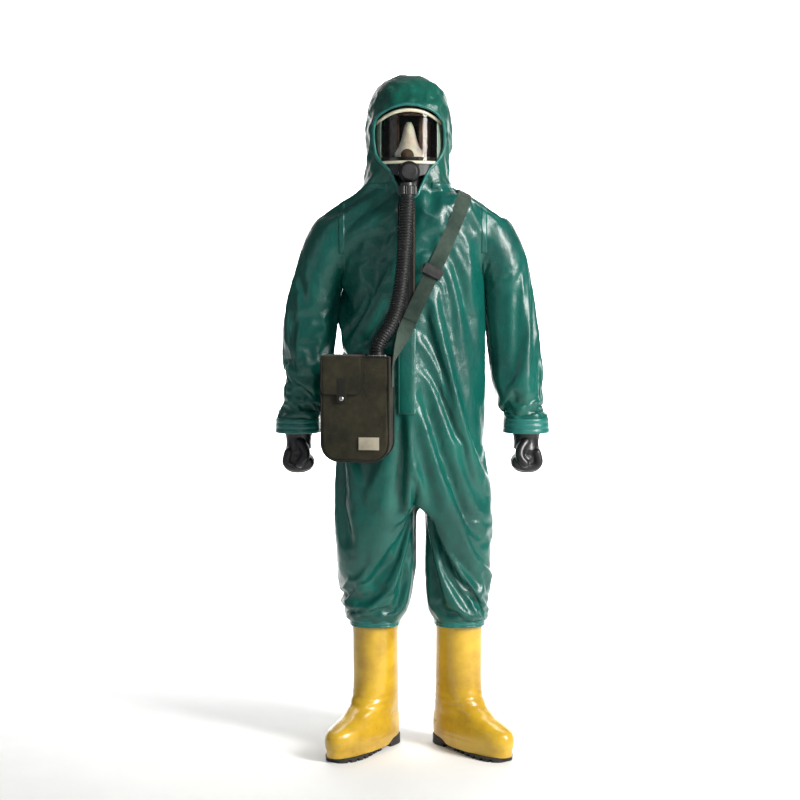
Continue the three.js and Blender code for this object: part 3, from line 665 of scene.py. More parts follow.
def boundary_loops(obj):
    """The open edges of a mesh as lists of vertex numbers in order round each hole."""
    bm = bmesh.new()
    bm.from_mesh(obj.data)
    links = {}
    for e in bm.edges:
        if e.is_boundary:
            a, b = (v.index for v in e.verts)
            links.setdefault(a, []).append(b)
            links.setdefault(b, []).append(a)
    bm.free()
    loops, seen = [], set()
    for start in links:
        if start in seen:
            continue
        loop, at = [], start
        while at is not None:
            seen.add(at)
            loop.append(at)
            at = next((n for n in links[at] if n not in seen), None)
        loops.append(loop)
    return [ring for ring in loops if len(ring) > 12]


# The limb that each face of the undraped cloth is on. The cloth carries it as a material number.
LIMBS = ["none", "arm_left", "arm_right", "leg_left", "leg_right"]


def limb_of(centres):
    x, _, z = centres.T
    hip = 840
    limb = np.zeros(len(x), dtype=int)
    for side, word in SIDES:
        line = np.interp(z, *np.array(ARM_LINE, float).T)
        limb[(x * side > line) & (z > hip)] = LIMBS.index(f"arm_{word}")
        limb[(x * side > CROTCH_X * side) & (z < hip)] = LIMBS.index(f"leg_{word}")
    return limb


def cut_openings(cloth, outline):
    """Takes away the cloth over the face and past the ends of the sleeves and the legs."""
    bm = bmesh.new()
    bm.from_mesh(cloth.data)
    centres = np.array([f.calc_center_median()[:] for f in bm.faces]) * 1000
    centres[:, 1] -= BODY_Y
    x, y, z = centres.T
    face = inside(centres[:, [0, 2]], outline) & (y < -25)
    hands = (z < CUFF_Z) & (abs(x) > HAND_GAP) & (z > 700)
    gone = face | (z < HEM_Z) | hands
    bmesh.ops.delete(bm, geom=[f for f, g in zip(bm.faces, gone) if g], context="FACES")
    bm.to_mesh(cloth.data)
    bm.free()


def coverall_shape(size):
    """The coverall as one cloth with its openings cut. Each face keeps its limb's number."""
    shells = [body_loft("torso", resample(TORSO, 3)), body_loft("hood", resample(HOOD, 3), HEAD_X)]
    for side, _ in SIDES:
        shells += [sleeve_loft(side), leg_loft(side)]
    cloth = remeshed(merged("coverall", shells), size * 0.001, 8)
    outline = face_outline()
    cut_openings(cloth, outline)
    co = body_verts(cloth)
    for loop in boundary_loops(cloth):
        middle = co[loop].mean(0)
        for v in loop:
            if middle[2] > 1450:
                co[v, 0], co[v, 2] = onto_outline(co[v, [0, 2]], outline)
            else:
                co[v, 2] = HEM_Z if middle[2] < 600 else CUFF_Z
        for _ in range(3):
            ring = co[loop]
            co[loop] = 0.5 * ring + 0.25 * (np.roll(ring, 1, 0) + np.roll(ring, -1, 0))
    set_body_verts(cloth, co)
    centres = np.array([p.center[:] for p in cloth.data.polygons]) * 1000 - SHIFT
    for face, limb in zip(cloth.data.polygons, limb_of(centres)):
        face.material_index = int(limb)
    return cloth


def strap_line(cloth, off):
    """The strap's middle line laid on the cloth, with the cloth's outward normal at each point."""
    tree = BVHTree.FromObject(cloth, bpy.context.evaluated_depsgraph_get())
    route = resample(STRAP_ROUTE, 6)
    line, facing = [], []
    for p in route:
        hit, normal, _, _ = tree.find_nearest(Vector((p[0], p[1] + BODY_Y, p[2])) * 0.001)
        out = Vector((p[0] / 180, p[1] / 140, max(0.0, (p[2] - 1400) / 60))).normalized()
        if normal.dot(out) < 0:
            normal = -normal
        line.append(to_body(hit))
        facing.append(np.array(normal))
    line, facing = np.array(line), np.array(facing)
    evened(line, 6)
    evened(facing, 6)
    facing /= np.linalg.norm(facing, axis=1)[:, None]
    return line + facing * off, facing


def form():
    """The form that the cloth hangs on: a plain figure."""
    parts = [body_loft("f", resample(FORM_TORSO, 2)), body_loft("f", resample(FORM_HEAD, 2), HEAD_X)]
    for side, _ in SIDES:
        for table, shift in ((FORM_ARM, 0), (FORM_LEG, 10)):
            rows = resample(table, 3)
            path = np.array([(side * x + shift, 0, z) for x, z, _ in rows])
            parts.append(tube("f", path, rows[:, 2], 24, up=(0, 1, 0)))
    return remeshed(merged("form", parts), 0.016, 4)


def seeded(cloth):
    """Faint upright ripples, so that the folds start unevenly."""
    co = body_verts(cloth)
    for i, (x, y, z) in enumerate(co):
        if z > 1480:
            continue
        cx = 0.0
        if z < 670:
            cx = 122 if x > CROTCH_X else -102
        elif abs(x) > 195 and z < 1300:
            cx = math.copysign(270, x)
        out = np.array((x - cx, y))
        r = np.linalg.norm(out)
        if r < 20:
            continue
        turn = math.atan2(out[1], out[0])
        wave = math.sin(9 * turn + 0.0045 * z + 1.3 * math.sin(0.006 * z)) + 0.6 * math.sin(15 * turn - 0.006 * z)
        lump = noise.noise(Vector((x, y, z * 0.5)) * 0.012)
        co[i, :2] += out / r * (3.0 * wave + 7 * lump) * (0.55 if cx else 1.0)
    set_body_verts(cloth, co)


def pins(cloth):
    """A weight for each point: 1 at the openings, along the zip, at the crotch and under the strap."""
    co = body_verts(cloth)
    weight = np.zeros(len(co))
    for loop in boundary_loops(cloth):
        ring = co[loop]
        reach = 9 if ring[:, 2].mean() > 1450 else 14
        for i in np.where(np.abs(co[:, 2] - ring[:, 2].mean()) < 170)[0]:
            if np.min(np.linalg.norm(ring - co[i], axis=1)) < reach:
                weight[i] = 1
    x, y, z = co.T
    weight[(abs(x - PLACKET_X) < 25) & (y < -60) & (z > 900) & (z < 1462)] = 1
    weight[(abs(x - CROTCH_X) < 18) & (abs(y) < 100) & (z < 700)] = 1
    line, _ = strap_line(cloth, 0)
    near = np.array([np.min(np.linalg.norm(line - p, axis=1)) for p in co])
    weight[(near < 15) & (abs(x) < 200)] = 1
    return weight


def stops():
    """What the cloth can't pass: the form, and a block where the bag hangs."""
    stand = form()
    stand.modifiers.new("stop", "COLLISION")
    stand.collision.thickness_outer = 0.004
    stand.collision.cloth_friction = 12
    bag = box("bag_stop", (166, 84, 270), (0, -44, 916))
    bag.data.transform(
        Matrix.Translation(Vector((BAG_BACK[0], BAG_BACK[1], 0)) * 0.001)
        @ Matrix.Translation(Vector((0, BODY_Y, 0)) * 0.001)
        @ Matrix.Rotation(BAG_TURN, 4, "Z")
        @ Matrix.Translation(Vector((0, -BODY_Y, 0)) * 0.001)
    )
    bag.modifiers.new("stop", "COLLISION")
    bag.collision.thickness_outer = 0.002
    return stand, bag


def weighted(cloth, name, weights):
    group = cloth.vertex_groups.new(name=name)
    for i, w in enumerate(weights):
        if w > 0:
            group.add([i], float(w), "REPLACE")


def cloth_settings(cloth):
    """A stiff coated fabric. It is a little longer than its form in the legs, so that it gathers there."""
    m = cloth.modifiers.new("cloth", "CLOTH")
    c = m.settings
    c.quality, c.mass, c.air_damping = 6, 0.35, 1.5
    c.tension_stiffness = c.compression_stiffness = 18
    c.shear_stiffness, c.bending_stiffness = 8, 1.2
    c.tension_damping = c.compression_damping = c.shear_damping = 8
    c.bending_damping = 0.8
    c.shrink_min, c.shrink_max = -0.09, -0.02
    c.vertex_group_shrink = "snug"
    c.effector_weights.gravity = 0.5
    c.vertex_group_mass = "held"
    c.pin_stiffness = 1
    m.collision_settings.distance_min = 0.004
    m.collision_settings.collision_quality = 2
    m.collision_settings.use_self_collision = False
    return m


def draped(cloth, frames=42):
    removed = stops()
    held = pins(cloth)
    seeded(cloth)
    weighted(cloth, "held", held)
    snug = np.interp(verts_of(cloth)[:, 2], [0.35, 0.5, 0.62, 0.75, 1.42, 1.52], [1, 1, 0.5, 0.1, 0, 0.5])
    weighted(cloth, "snug", snug)
    m = cloth_settings(cloth)
    m.point_cache.frame_start, m.point_cache.frame_end = 1, frames
    scene = bpy.context.scene
    scene.frame_start, scene.frame_end = 1, frames
    for f in range(1, frames + 1):
        scene.frame_set(f)
    made = cloth.evaluated_get(bpy.context.evaluated_depsgraph_get())
    mesh = bpy.data.meshes.new_from_object(made)
    cloth.modifiers.clear()
    cloth.data = mesh
    scene.frame_set(1)
    for o in removed:
        bpy.data.objects.remove(o)


def crinkled(cloth):
    """Small puckers in the hood, which is gathered over the head, and fainter ones in the rest."""
    co = verts_of(cloth)
    normals = np.array([v.normal[:] for v in cloth.data.vertices])
    for i, p in enumerate(co):
        hood = min(1.0, max(0.0, (p[2] - 1.46) / 0.06))
        v = Vector(p)
        lump = noise.noise(v * 34) + 0.6 * noise.noise(v * 75 + Vector((5, 1, 3)))
        co[i] += normals[i] * lump * (0.0007 + 0.002 * hood)
    set_verts(cloth, co)


def coverall():
    cloth = coverall_shape(CLOTH_STEP)
    draped(cloth)
    s = cloth.modifiers.new("smooth", "SMOOTH")
    s.factor, s.iterations = 0.3, 1
    sub = cloth.modifiers.new("fine", "SUBSURF")
    sub.levels = sub.render_levels = 1
    baked(cloth)
    crinkled(cloth)
    cloth.data.shade_smooth()
    return cloth


def region_of(centres, limbs):
    """Which piece of the coverall each face belongs to."""
    x, _, z = centres.T
    name = np.array(["torso"] * len(x), dtype=object)
    name[z > NECK_Z] = "hood"
    for side, word in SIDES:
        s = x * side
        past = s * ARM_OUT - z * ARM_DOWN > ARM_PLANE - ARM_EARLY
        arm = (limbs == LIMBS.index(f"arm_{word}")) & past
        name[arm] = f"upper_sleeve_{word}"
        name[arm & (z < ELBOW_TOP)] = f"lower_sleeve_{word}"
        past = (s - CROTCH_X * side) * LEG_OUT - z * LEG_DOWN > LEG_PLANE - LEG_EARLY
        leg = (limbs == LIMBS.index(f"leg_{word}")) & past
        name[leg] = f"upper_leg_{word}"
        name[leg & (z < KNEE_TOP)] = f"lower_leg_{word}"
    return name


def parted(cloth):
    """The coverall cut into its pieces. Each keeps the whole cloth's normals, so that no seam shows."""
    mesh = cloth.data
    co = verts_of(cloth)
    normals = np.empty(len(co) * 3)
    mesh.vertices.foreach_get("normal", normals)
    normals = normals.reshape(-1, 3)
    polys = [list(p.vertices) for p in mesh.polygons]
    centres = np.array([co[p].mean(0) for p in polys]) * 1000 - SHIFT
    names = region_of(centres, np.array([p.material_index for p in mesh.polygons]))
    pieces = {}
    for name in sorted(set(names)):
        mine = [p for p, n in zip(polys, names) if n == name]
        used = sorted({v for p in mine for v in p})
        place = {v: i for i, v in enumerate(used)}
        made = bpy.data.meshes.new(name)
        made.from_pydata(co[used].tolist(), [], [[place[v] for v in p] for p in mine])
        made.update()
        made.shade_smooth()
        made.normals_split_custom_set_from_vertices(normals[used].tolist())
        pieces[name] = linked("cloth_" + name, made)
    return pieces


def joined(pieces):
    """Gives every piece of the coverall its material, and hangs the torso and the hood on the suit's body."""
    for name, obj in pieces.items():
        obj.data.materials.append(GREEN_HOOD if name == "hood" else GREEN)
    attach(pieces["torso"], "suit")
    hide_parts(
        "front_panel_left", "front_panel_right", "back_panel", "hip_section_left",
        "hip_section_right", "crotch_gusset",
    )
    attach(pieces["hood"], "suit")
    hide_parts("hood", "hood_neck")
    for side, word in SIDES:
        upper, lower = pieces[f"upper_sleeve_{word}"], pieces[f"lower_sleeve_{word}"]
        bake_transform(upper)
        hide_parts(f"upper_sleeve_{word}")
        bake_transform(lower)
        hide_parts(f"elbow_section_{word}", f"lower_sleeve_{word}")
        upper, lower = pieces[f"upper_leg_{word}"], pieces[f"lower_leg_{word}"]
        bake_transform(upper)
        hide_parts(f"thigh_section_{word}")
        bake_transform(lower)
        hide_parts(f"knee_section_{word}", f"shin_section_{word}")


cloth = coverall()
cloth_tree = BVHTree.FromObject(cloth, bpy.context.evaluated_depsgraph_get())
rims = [body_verts(cloth)[loop] for loop in boundary_loops(cloth)]
strap_path, strap_facing = strap_line(cloth, 3.0)
over_zip = np.where(strap_path[:, 1] < 0, np.exp(-(((strap_path[:, 0] - PLACKET_X) / 45) ** 2)), 0)
strap_path += strap_facing * over_zip[:, None] * 3.6
pieces = parted(cloth)
bpy.data.objects.remove(cloth)
joined(pieces)


# ---------- Seams ----------
def taped_seam(name, starts, along, across, width=15.0):
    """A strip of seam tape laid on the cloth, found by looking outwards from each start."""
    steps = np.linspace(-0.5, 0.5, 5) * width
    tops, lows = [], []
    for start, direction in zip(starts, along):
        row = []
        for step in steps:
            o = np.array(start, float) + np.array(across, float) * step
            hit, normal, _, _ = cloth_tree.ray_cast(Vector(at(*o)), Vector(direction), 0.25)
            if hit is None:
                break
            n = normal if normal.dot(Vector(direction)) > 0 else -normal
            row.append((to_body(hit), np.array(n)))
        if len(row) == len(steps):
            tops.append([p + n * (0.9 if 0 < k < 4 else 0.3) for k, (p, n) in enumerate(row)])
            lows.append([p - n * 0.8 for p, n in row])
    tops, lows = np.array(tops), np.array(lows)
    evened(tops)
    evened(lows)
    tape = loft(name, [np.vstack([t, l[::-1]]) for t, l in zip(tops, lows)])
    finish_piece(tape, GREEN_SEAM, "suit", "coated_fabric")


def seams():
    for side, word in SIDES:
        turns = np.radians(np.linspace(-38, 218, 110))
        starts = [(side * 184, 0, 1366)] * len(turns)
        taped_seam(f"armhole_seam_{word}", starts, [(0, -math.cos(a), math.sin(a)) for a in turns], (1, 0, 0))
    turns = np.radians(np.linspace(-62, 242, 150))
    round_neck = [(math.cos(a), math.sin(a), 0) for a in turns]
    taped_seam("hood_seam", [(HEAD_X, 0, NECK_Z)] * len(turns), round_neck, (0, 0, 1))
    heights = np.linspace(1474, 730, 180)
    taped_seam("back_seam", [(0, 30, z) for z in heights], [(0, 1, 0)] * len(heights), (1, 0, 0))


seams()


# ---------- Hood rim, cuffs and hems ----------
for rim in rims:
    middle = rim.mean(0)
    if middle[2] > 1450:
        path = resample(np.vstack([rim[::2], rim[:1]]), 2)[:-1]
        seal = tube("hood_rim", path, 4.2, 10, wrap=True)
        finish_piece(seal, GREEN_TRIM, "suit", "coated_fabric")


def flared_ring(name, z0, z1, centre, half, depth, grow, thick, ripple=0.0, count=96, power=2.15):
    """A short tube of fabric with its lower edge turned in: z0 is the upper edge and z1 the lower."""
    rows = [
        (0.0, -thick), (0.0, -1.0), (0.04, 0.0), (0.28, 0.2), (0.31, -0.9), (0.34, 0.3), (0.66, 0.5),
        (0.69, -0.7), (0.72, 0.6), (0.96, 0.8), (1.0, -0.4), (1.0, -thick + 0.6), (0.93, -thick), (0.0, -thick),
    ]
    t = np.linspace(0, 2 * math.pi, count, endpoint=False)
    rings = []
    for u, off in rows:
        middle = np.array((centre, 0, z0 + (z1 - z0) * u))
        wave = 1 + ripple * np.sin(22 * t + 2 * np.sin(3 * t)) * (0.4 + 0.6 * u)
        reach = depth + grow * u + off
        ring = oval(middle, half + grow * u + off, reach, reach, count, power)
        rings.append((ring - middle) * wave[:, None] + middle)
    return loft(name, rings, cap=False)


for side, word in SIDES:
    xi, xo = (238, 359) if side > 0 else (243, 360)
    cuff = flared_ring(f"cuff_band_{word}", 882, 843, side * (xi + xo) / 2, (xo - xi) / 2, 60, 1.2, 4.0)
    finish_piece(cuff, GREEN_TRIM, f"{word}_forearm", "coated_fabric", f"cuff_{word}")
    xi, xo = (57.5, 192) if side > 0 else (33, 166)
    hem = flared_ring(
        f"hem_elastic_{word}", 352, 334, side * (xi + xo) / 2, (xo - xi) / 2, 75, -1.0, 3.0, 0.008, 132, SQUARE
    )
    finish_piece(hem, GREEN_TRIM, f"{word}_shin", "coated_fabric", f"hem_band_{word}")


# ---------- Gloves ----------
def capsule(points, radius):
    return tube("c", resample(points, 4), radius, 14, up=(0, 1, 0))


def ball(centre, radii):
    x, y, z = centre
    rings = []
    for a in np.linspace(0.02, math.pi - 0.02, 20):
        depth = radii[1] * math.sin(a)
        rings.append(oval((x, y, z + radii[2] * math.cos(a)), radii[0] * math.sin(a), depth, depth, 28, 2.0))
    return loft("b", rings)


WRISTS = [
    (800, 34, 40),
    (818, 33, 34),
    (832, 35, 34),
    (843, 37.5, 36),
    (846, 39.5, 38),
    (850, 37.5, 36),
    (866, 37, 36),
    (892, 36, 35),
]


def glove(s, word):
    """A gloved fist seen from its thumb side: the fingers curl under, towards the body."""
    parts = [ball((s * 303, 2, 797), (32, 40, 44)), ball((s * 300, 3, 776), (33, 43, 31))]
    finger = 12.0
    for y, low, reach in ((-30, 6, 0), (-9, 0, 1), (12, 1, 0), (32, 6, -4)):
        points = [
            (s * 326, y, 792), (s * (331 + reach), y, 768), (s * 323, y, 751 + low), (s * 300, y, 747 + low),
            (s * 278, y, 752 + low), (s * (270 - reach), y, 767), (s * 282, y, 780),
        ]
        parts.append(capsule(points, finger))
        parts += [ball(points[k], (finger,) * 3) for k in (0, -1)]
    parts.append(ball((s * 300, -2, 770), (24, 36, 18)))
    thumb = [(s * 296, -26, 820), (s * 282, -40, 800), (s * 281, -49, 781), (s * 294, -50, 765)]
    base, tip = 14.5, 11.5
    parts.append(capsule(thumb, np.linspace(base, tip, 13)))
    parts += [ball(thumb[0], (base,) * 3), ball(thumb[-1], (tip,) * 3)]
    hand = remeshed(merged("hand", parts), 0.0032, 5)
    sleeve = loft("wrist", [oval((s * 300, 0, z), a, b, b, 40, 2.0) for z, a, b in WRISTS], cap=False)
    made = merged(f"glove_piece_{word}", [hand, sleeve])
    made.data.shade_smooth()
    finish_piece(made, GLOVE, f"{word}_forearm", "black_rubber", f"glove_{word}")


for side, word in SIDES:
    glove(side, word)
    painted(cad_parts[f"glove_ring_{word}"], PLASTIC)


# ---------- Boots ----------
BOOT_ROWS = [
    (26.4, 48, -196, 88),
    (50, 52, -203, 91),
    (74, 50, -194, 90),
    (90, 46, -160, 87),
    (108, 47, -112, 82),
    (135, 50, -76, 74),
    (180, 52, -63, 69),
    (260, 54, -61, 65),
    (366, 55.5, -61, 63),
]


def sole_line(y):
    """Where the yellow upper meets the black sole: low under the forefoot and higher at the heel."""
    return 13 + 13.4 / (1 + np.exp(-(np.asarray(y, float) - 6) / 7))


def rise(x, at_x, width):
    """From 0 well before at_x to 1 well after it."""
    return 1 / (1 + np.exp(-(x - at_x) / width))


def boot_ring(z, half, toe, heel):
    """One ring of the boot's upper, with its bands, creases and back seam."""
    middle = (0, (toe + heel) / 2, z)
    ring = oval(middle, half, (heel - toe) / 2, (heel - toe) / 2, 72, 2.3)
    x, y, _ = ring.T
    out = ring - middle
    out /= np.linalg.norm(out, axis=1)[:, None]
    grow = 1.6 * rise(-z, -41, 1.2) + 1.5 * rise(-y, 132, 2.0)  # the band above the sole, and the toe cap
    crease = math.exp(-(((z - 132) / 26) ** 2))
    grow += crease * 1.4 * np.sin(z / 3.4 + 0.8 * np.sin(x / 14)) * (0.35 + 0.65 * (y < 0))
    grow += 1.6 * rise(z, 322, 1.2) - 1.2 * math.exp(-(((z - 336) / 2) ** 2))
    grow += 1.3 * np.exp(-((x / 3.0) ** 2)) * (y > 0) * (z > 90)  # back seam
    ring = ring + out * grow[:, None]
    if z < 27:
        ring[:, 2] = sole_line(ring[:, 1]) - 0.5
    return ring


def sole_outline(grow):
    half = []
    for corner in (
        [(0, 88), (34, 88), (40, 64), (38, 28)],
        [(38, 28), (34, -30), (50, -80), (50, -118)],
        [(50, -118), (50, -168), (30, -196), (0, -196)],
    ):
        half += interpolate_bezier(*(Vector(p) for p in corner), 14)[:-1]
    half.append(Vector((0, -196)))
    right = np.array([(p.x, p.y) for p in half])
    left = right[1:-1][::-1] * (-1, 1)
    ring = np.vstack([right, left])
    out = ring - ring.mean(0)
    out /= np.linalg.norm(out, axis=1)[:, None]
    return ring + out * grow


def slab(top, grow, low=0.0, keep=None):
    """A flat piece of the sole up to top(y); keep limits it to a strip across, between two places along it."""
    rings = []
    for up, g in ((0, grow - 1.4), (0.08, grow), (0.92, grow), (1, grow - 0.8)):
        ring = sole_outline(g)
        if keep:
            half = ring[ring[:, 0] >= 0]
            half = half[np.argsort(half[:, 1])]
            ys = np.linspace(*keep, 7)
            xs = np.interp(ys, half[:, 1], half[:, 0])
            ring = np.column_stack([np.r_[xs, -xs[::-1]], np.r_[ys, ys[::-1]]])
        rings.append(np.column_stack([ring, low + (top(ring[:, 1]) - low) * up]))
    return loft("slab", rings)


def tread_top(y):
    return 9 + 0 * y


def boot(side, word):
    centre = 124.5 if side > 0 else -99.0
    turn = math.radians(38 if side > 0 else -34)
    rings = [boot_ring(*row) for row in resample(BOOT_ROWS, 12)]
    inner = [rings[-1] * (0.94, 0.94, 1) + (0, 0, d) for d in (0, -40)]
    shell = loft(f"boot_shell_{word}", rings + inner, cap=False)
    move = Matrix.Translation(Vector(at(centre, 0, 0))) @ Matrix.Rotation(turn, 4, "Z")
    move = move @ Matrix.Translation(Vector((0, -BODY_Y * 0.001, 0)))
    shell.data.transform(move)
    finish_piece(shell, BOOT, f"{word}_shin", "yellow_pvc", f"boot_{word}")
    parts = [slab(sole_line, -1.2, low=7.0), slab(tread_top, -0.6, keep=(20, 87))]
    parts += [slab(tread_top, -2.0, keep=(-190 + 25 * i, -174 + 25 * i)) for i in range(7)]
    sole = merged(f"sole_piece_{word}", parts)
    sole.data.transform(move)
    sole.data.shade_smooth()
    edges_split(sole, 40)
    finish_piece(sole, SOLE, f"{word}_shin", "black_rubber", f"boot_sole_{word}")


for side, word in SIDES:
    boot(side, word)


# ---------- Mask ----------
LENS_Y, LENS_R, LENS_HALF = -35.0, 90.0, 62.0
LENS_LOW, LENS_SIDE_TOP, LENS_ARCH = 1540.0, 1641.0, 35.0


def lens_top(angle):
    return LENS_SIDE_TOP + LENS_ARCH * math.cos(math.radians(angle * 1.35))


def on_lens(angle, radius, z):
    a = math.radians(angle)
    return (HEAD_X + radius * math.sin(a), LENS_Y - radius * math.cos(a), z)


def lens_strip(name, r0, r1, angles, bottom, top):
    rows = []
    for a in angles:
        lo, hi = bottom(a), top(a)
        rows.append([on_lens(a, r0, lo), on_lens(a, r1, lo), on_lens(a, r1, hi), on_lens(a, r0, hi)])
    return loft(name, rows, smooth=False)


CUP_ROWS = [
    (1549, 36, 36, 24),
    (1556, 37, 36, 24),
    (1566, 38, 37, 24),
    (1580, 31, 34, 24),
    (1597, 22, 29, 22),
    (1616, 17, 24, 20),
    (1634, 12, 18, 16),
    (1646, 6, 9, 9),
]


def visor():
    wide = np.linspace(-LENS_HALF, LENS_HALF, 49)
    lens = lens_strip("lens", LENS_R, LENS_R + 2, wide, lambda a: LENS_LOW, lens_top)
    lens.data.shade_smooth()
    edges_split(lens, 40)
    finish_piece(lens, LENS, "suit", "clear_lens", "visor")
    top = [on_lens(a, LENS_R + 2.6, lens_top(a) - 3) for a in wide]
    rim = tube("rim_top", top, 5.2, 14, flat=0.85)
    finish_piece(rim, CREAM, "suit", "cream_plastic", "visor_rim_top")
    low = [on_lens(a, LENS_R + 2.6, LENS_LOW + 2) for a in np.linspace(-58, 50, 41)]
    rim = tube("rim_bottom", low, 5.0, 14, flat=0.85)
    finish_piece(rim, CREAM, "suit", "cream_plastic", "visor_rim_bottom")
    for s, word in SIDES:
        strip = lens_strip(
            f"mask_side_{word}", LENS_R + 2.2, LENS_R + 4.4, np.linspace(50, LENS_HALF + 3, 9) * s,
            lambda a: LENS_LOW - 2, lambda a: lens_top(max(-LENS_HALF, min(LENS_HALF, a))) + 1,
        )
        bevelled(strip, 0.0008, 2)
        finish_piece(strip, SIDE, "suit", "cream_plastic")


def nose_cup():
    rows = resample(CUP_ROWS, 5)
    cup = loft("inner_cup", [oval((HEAD_X, -80, z), half, front, back, 40, 1.8) for z, half, front, back in rows])
    finish_piece(cup, SILICONE, "suit", "silicone", "nose_cup")
    vent = ball((HEAD_X - 4, -112, 1560), (17, 9, 17))
    vent.name = "cup_vent"
    finish_piece(vent, DARK, "suit", "black_rubber")


def face_seal():
    """The dark rubber behind the visor: a fold at each side and one across the brow."""
    for first, last, low, near, far in ((-60, -24, 1545, 60, 64), (24, 60, 1545, 60, 64), (-34, 34, 1661, 66, 69)):
        angles = np.linspace(first, last, 13)
        fold = lens_strip("face_seal", near, far, angles, lambda a, z=low: z, lambda a: lens_top(a) - 4)
        fold.data.shade_smooth()
        finish_piece(fold, DARK, "suit", "black_rubber")


def small_parts():
    """Materials for the CAD pieces that show as they are."""
    for node, mat in (
        ("mask_facepiece", BLACK), ("chin_housing", BLACK), ("valve_cover", PLASTIC), ("exhale_valve_disc", SILICONE),
        ("hose_inlet", PLASTIC), ("harness_pad", BLACK), ("zip_slider", STEEL), ("zip_pull_tab", PLASTIC),
        ("strap_adjuster", PLASTIC), ("filter_canister", OLIVE),
    ):
        painted(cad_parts[node], mat)
    for _, word in SIDES:
        for strap in ("temple", "cheek"):
            painted(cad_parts[f"harness_{strap}_strap_{word}"], BLACK)


visor()
nose_cup()
face_seal()
small_parts()


# ---------- Chin, throat and zip placket ----------
def throat():
    """The dark flap behind the opening below the chin."""
    rings = []
    for z, half, y in ((1440, 34, -119), (1460, 40, -117), (1490, 58, -108), (1515, 80, -96), (1535, 90, -88)):
        front = [(HEAD_X - 6 + half * v, y + 26 * v * v, z) for v in np.linspace(-1, 1, 15)]
        rings.append(front + [(a, b + 2, c) for a, b, c in front[::-1]])
    flap = loft("throat_flap", rings, smooth=False)
    finish_piece(flap, BLACK, "suit", "black_rubber")


def cloth_front(x, z):
    """How far forward the cloth lies at a place on the front."""
    hit = cloth_tree.ray_cast(Vector((x * 0.001, -0.5, z * 0.001)), Vector((0, 1, 0)))[0]
    return hit[1] * 1000 - BODY_Y if hit else -between(TORSO, z)[1]


def zip_chain(middles):
    points, faces = [], []
    corners = ((-2.6, -0.9), (2.6, -0.9), (2.6, 0.9), (-2.6, 0.9))
    for x, y, z in middles:
        base = len(points)
        points += [(x + dx, y + dy, z + dz) for dz in (-1, 1) for dx, dy in corners]
        for f in ((3, 2, 1, 0), (4, 5, 6, 7), (0, 1, 5, 4), (1, 2, 6, 5), (2, 3, 7, 6), (3, 0, 4, 7)):
            faces.append([base + i for i in f])
    chain = fix_normals(make("zip_teeth", points, faces, smooth=False))
    finish_piece(chain, PLASTIC, "suit", "black_plastic")


def placket():
    """The zip's dark flap, its chain and its two lines of stitching, laid on the draped cloth."""
    heights = np.linspace(PLACKET_LOW, PLACKET_HIGH, 90)
    widths = np.linspace(-22, 22, 9)
    laid = np.array([[cloth_front(PLACKET_X + x, z) for x in widths] for z in heights])
    for _ in range(4):
        evened(laid)
        evened(laid.T)

    def surface(x, z, off):
        row = [np.interp(z, heights, laid[:, k]) for k in range(len(widths))]
        return (PLACKET_X + x, np.interp(x, widths, row) - off, z)

    half = [(2.8, 2), (3.4, 3.6), (7, 3.6), (8, 2.6), (20.5, 2.6), (22, 1.6), (22, -1.5)]
    profile = [(-x, off) for x, off in half[::-1]] + half
    upper = np.linspace(FLAP_TOP - 20, PLACKET_HIGH, 70)
    strip = loft("placket", [[surface(x, z, off) for x, off in profile] for z in upper], smooth=False)
    finish_piece(strip, PLACKET, "suit", "black_rubber", "zip_placket")
    cover = [(-24, -1.5), (-24, 1.8), (-22.5, 3.4), (-10, 4), (10, 4), (22.5, 3.4), (24, 1.8), (24, -1.5)]
    lower = np.linspace(PLACKET_LOW, FLAP_TOP, 50)
    flap = loft("zip_cover", [[surface(x, z, off) for x, off in cover] for z in lower])
    finish_piece(flap, GREEN, "suit", "coated_fabric")
    for x in (-19.5, 19.5):
        line = tube("zip_cover_stitch", [surface(x, z, 3.9) for z in lower], 0.6, 6)
        finish_piece(line, STITCH, "suit", "coated_fabric")
    zip_chain([surface(0, z, 3) for z in np.arange(FLAP_TOP, PLACKET_HIGH - 4, 3.4)])
    for x in (-18.5, 18.5):
        line = tube("placket_stitch", [surface(x, z, 2.9) for z in upper], 0.6, 6)
        finish_piece(line, STITCH_TAN, "suit", "black_rubber")


throat()
placket()


# ---------- Hose ----------
def hose():
    route = resample(HOSE_ROUTE, 40)
    step = np.r_[0, np.cumsum(np.linalg.norm(np.diff(route, axis=0), axis=1))]
    length = step[-1]
    per = 8  # points to one rib
    ribs = int(length / 7.2)
    s = np.linspace(0, length, ribs * per + 1)
    path = np.column_stack([np.interp(s, step, route[:, k]) for k in range(3)])
    ridge = 0.5 + 0.5 * np.cos(2 * math.pi * s / (length / ribs))
    radius = 16.4 + 2.5 * (1 - ridge) ** 0.8
    ends = np.minimum(s, length - s)
    radius = np.where(ends < 12, 17.6, radius)
    obj = tube("hose", path, radius, 28, up=(1, 0, 0))
    finish_piece(obj, BLACK, "suit", "black_rubber", "breathing_hose")


def hose_nut(name, mat, slot_name, place, low, high):
    x, y, _ = place
    t = np.linspace(0, 2 * math.pi, 96, endpoint=False)
    knurl = 23.3 + 0.7 * np.sign(np.sin(24 * t))
    bore = np.full(len(t), 20.6)
    rings = []
    for z, r in (
        (low, bore), (low, knurl * 0.95), (low + 1.5, knurl), (high - 1.5, knurl), (high, knurl * 0.95), (high, bore),
    ):
        rings.append(np.column_stack([x + r * np.cos(t), y + r * np.sin(t), np.full(len(t), z)]))
    nut = loft(name + "_knurled", rings, wrap=True, smooth=False)
    finish_piece(nut, mat, name, slot_name, name)


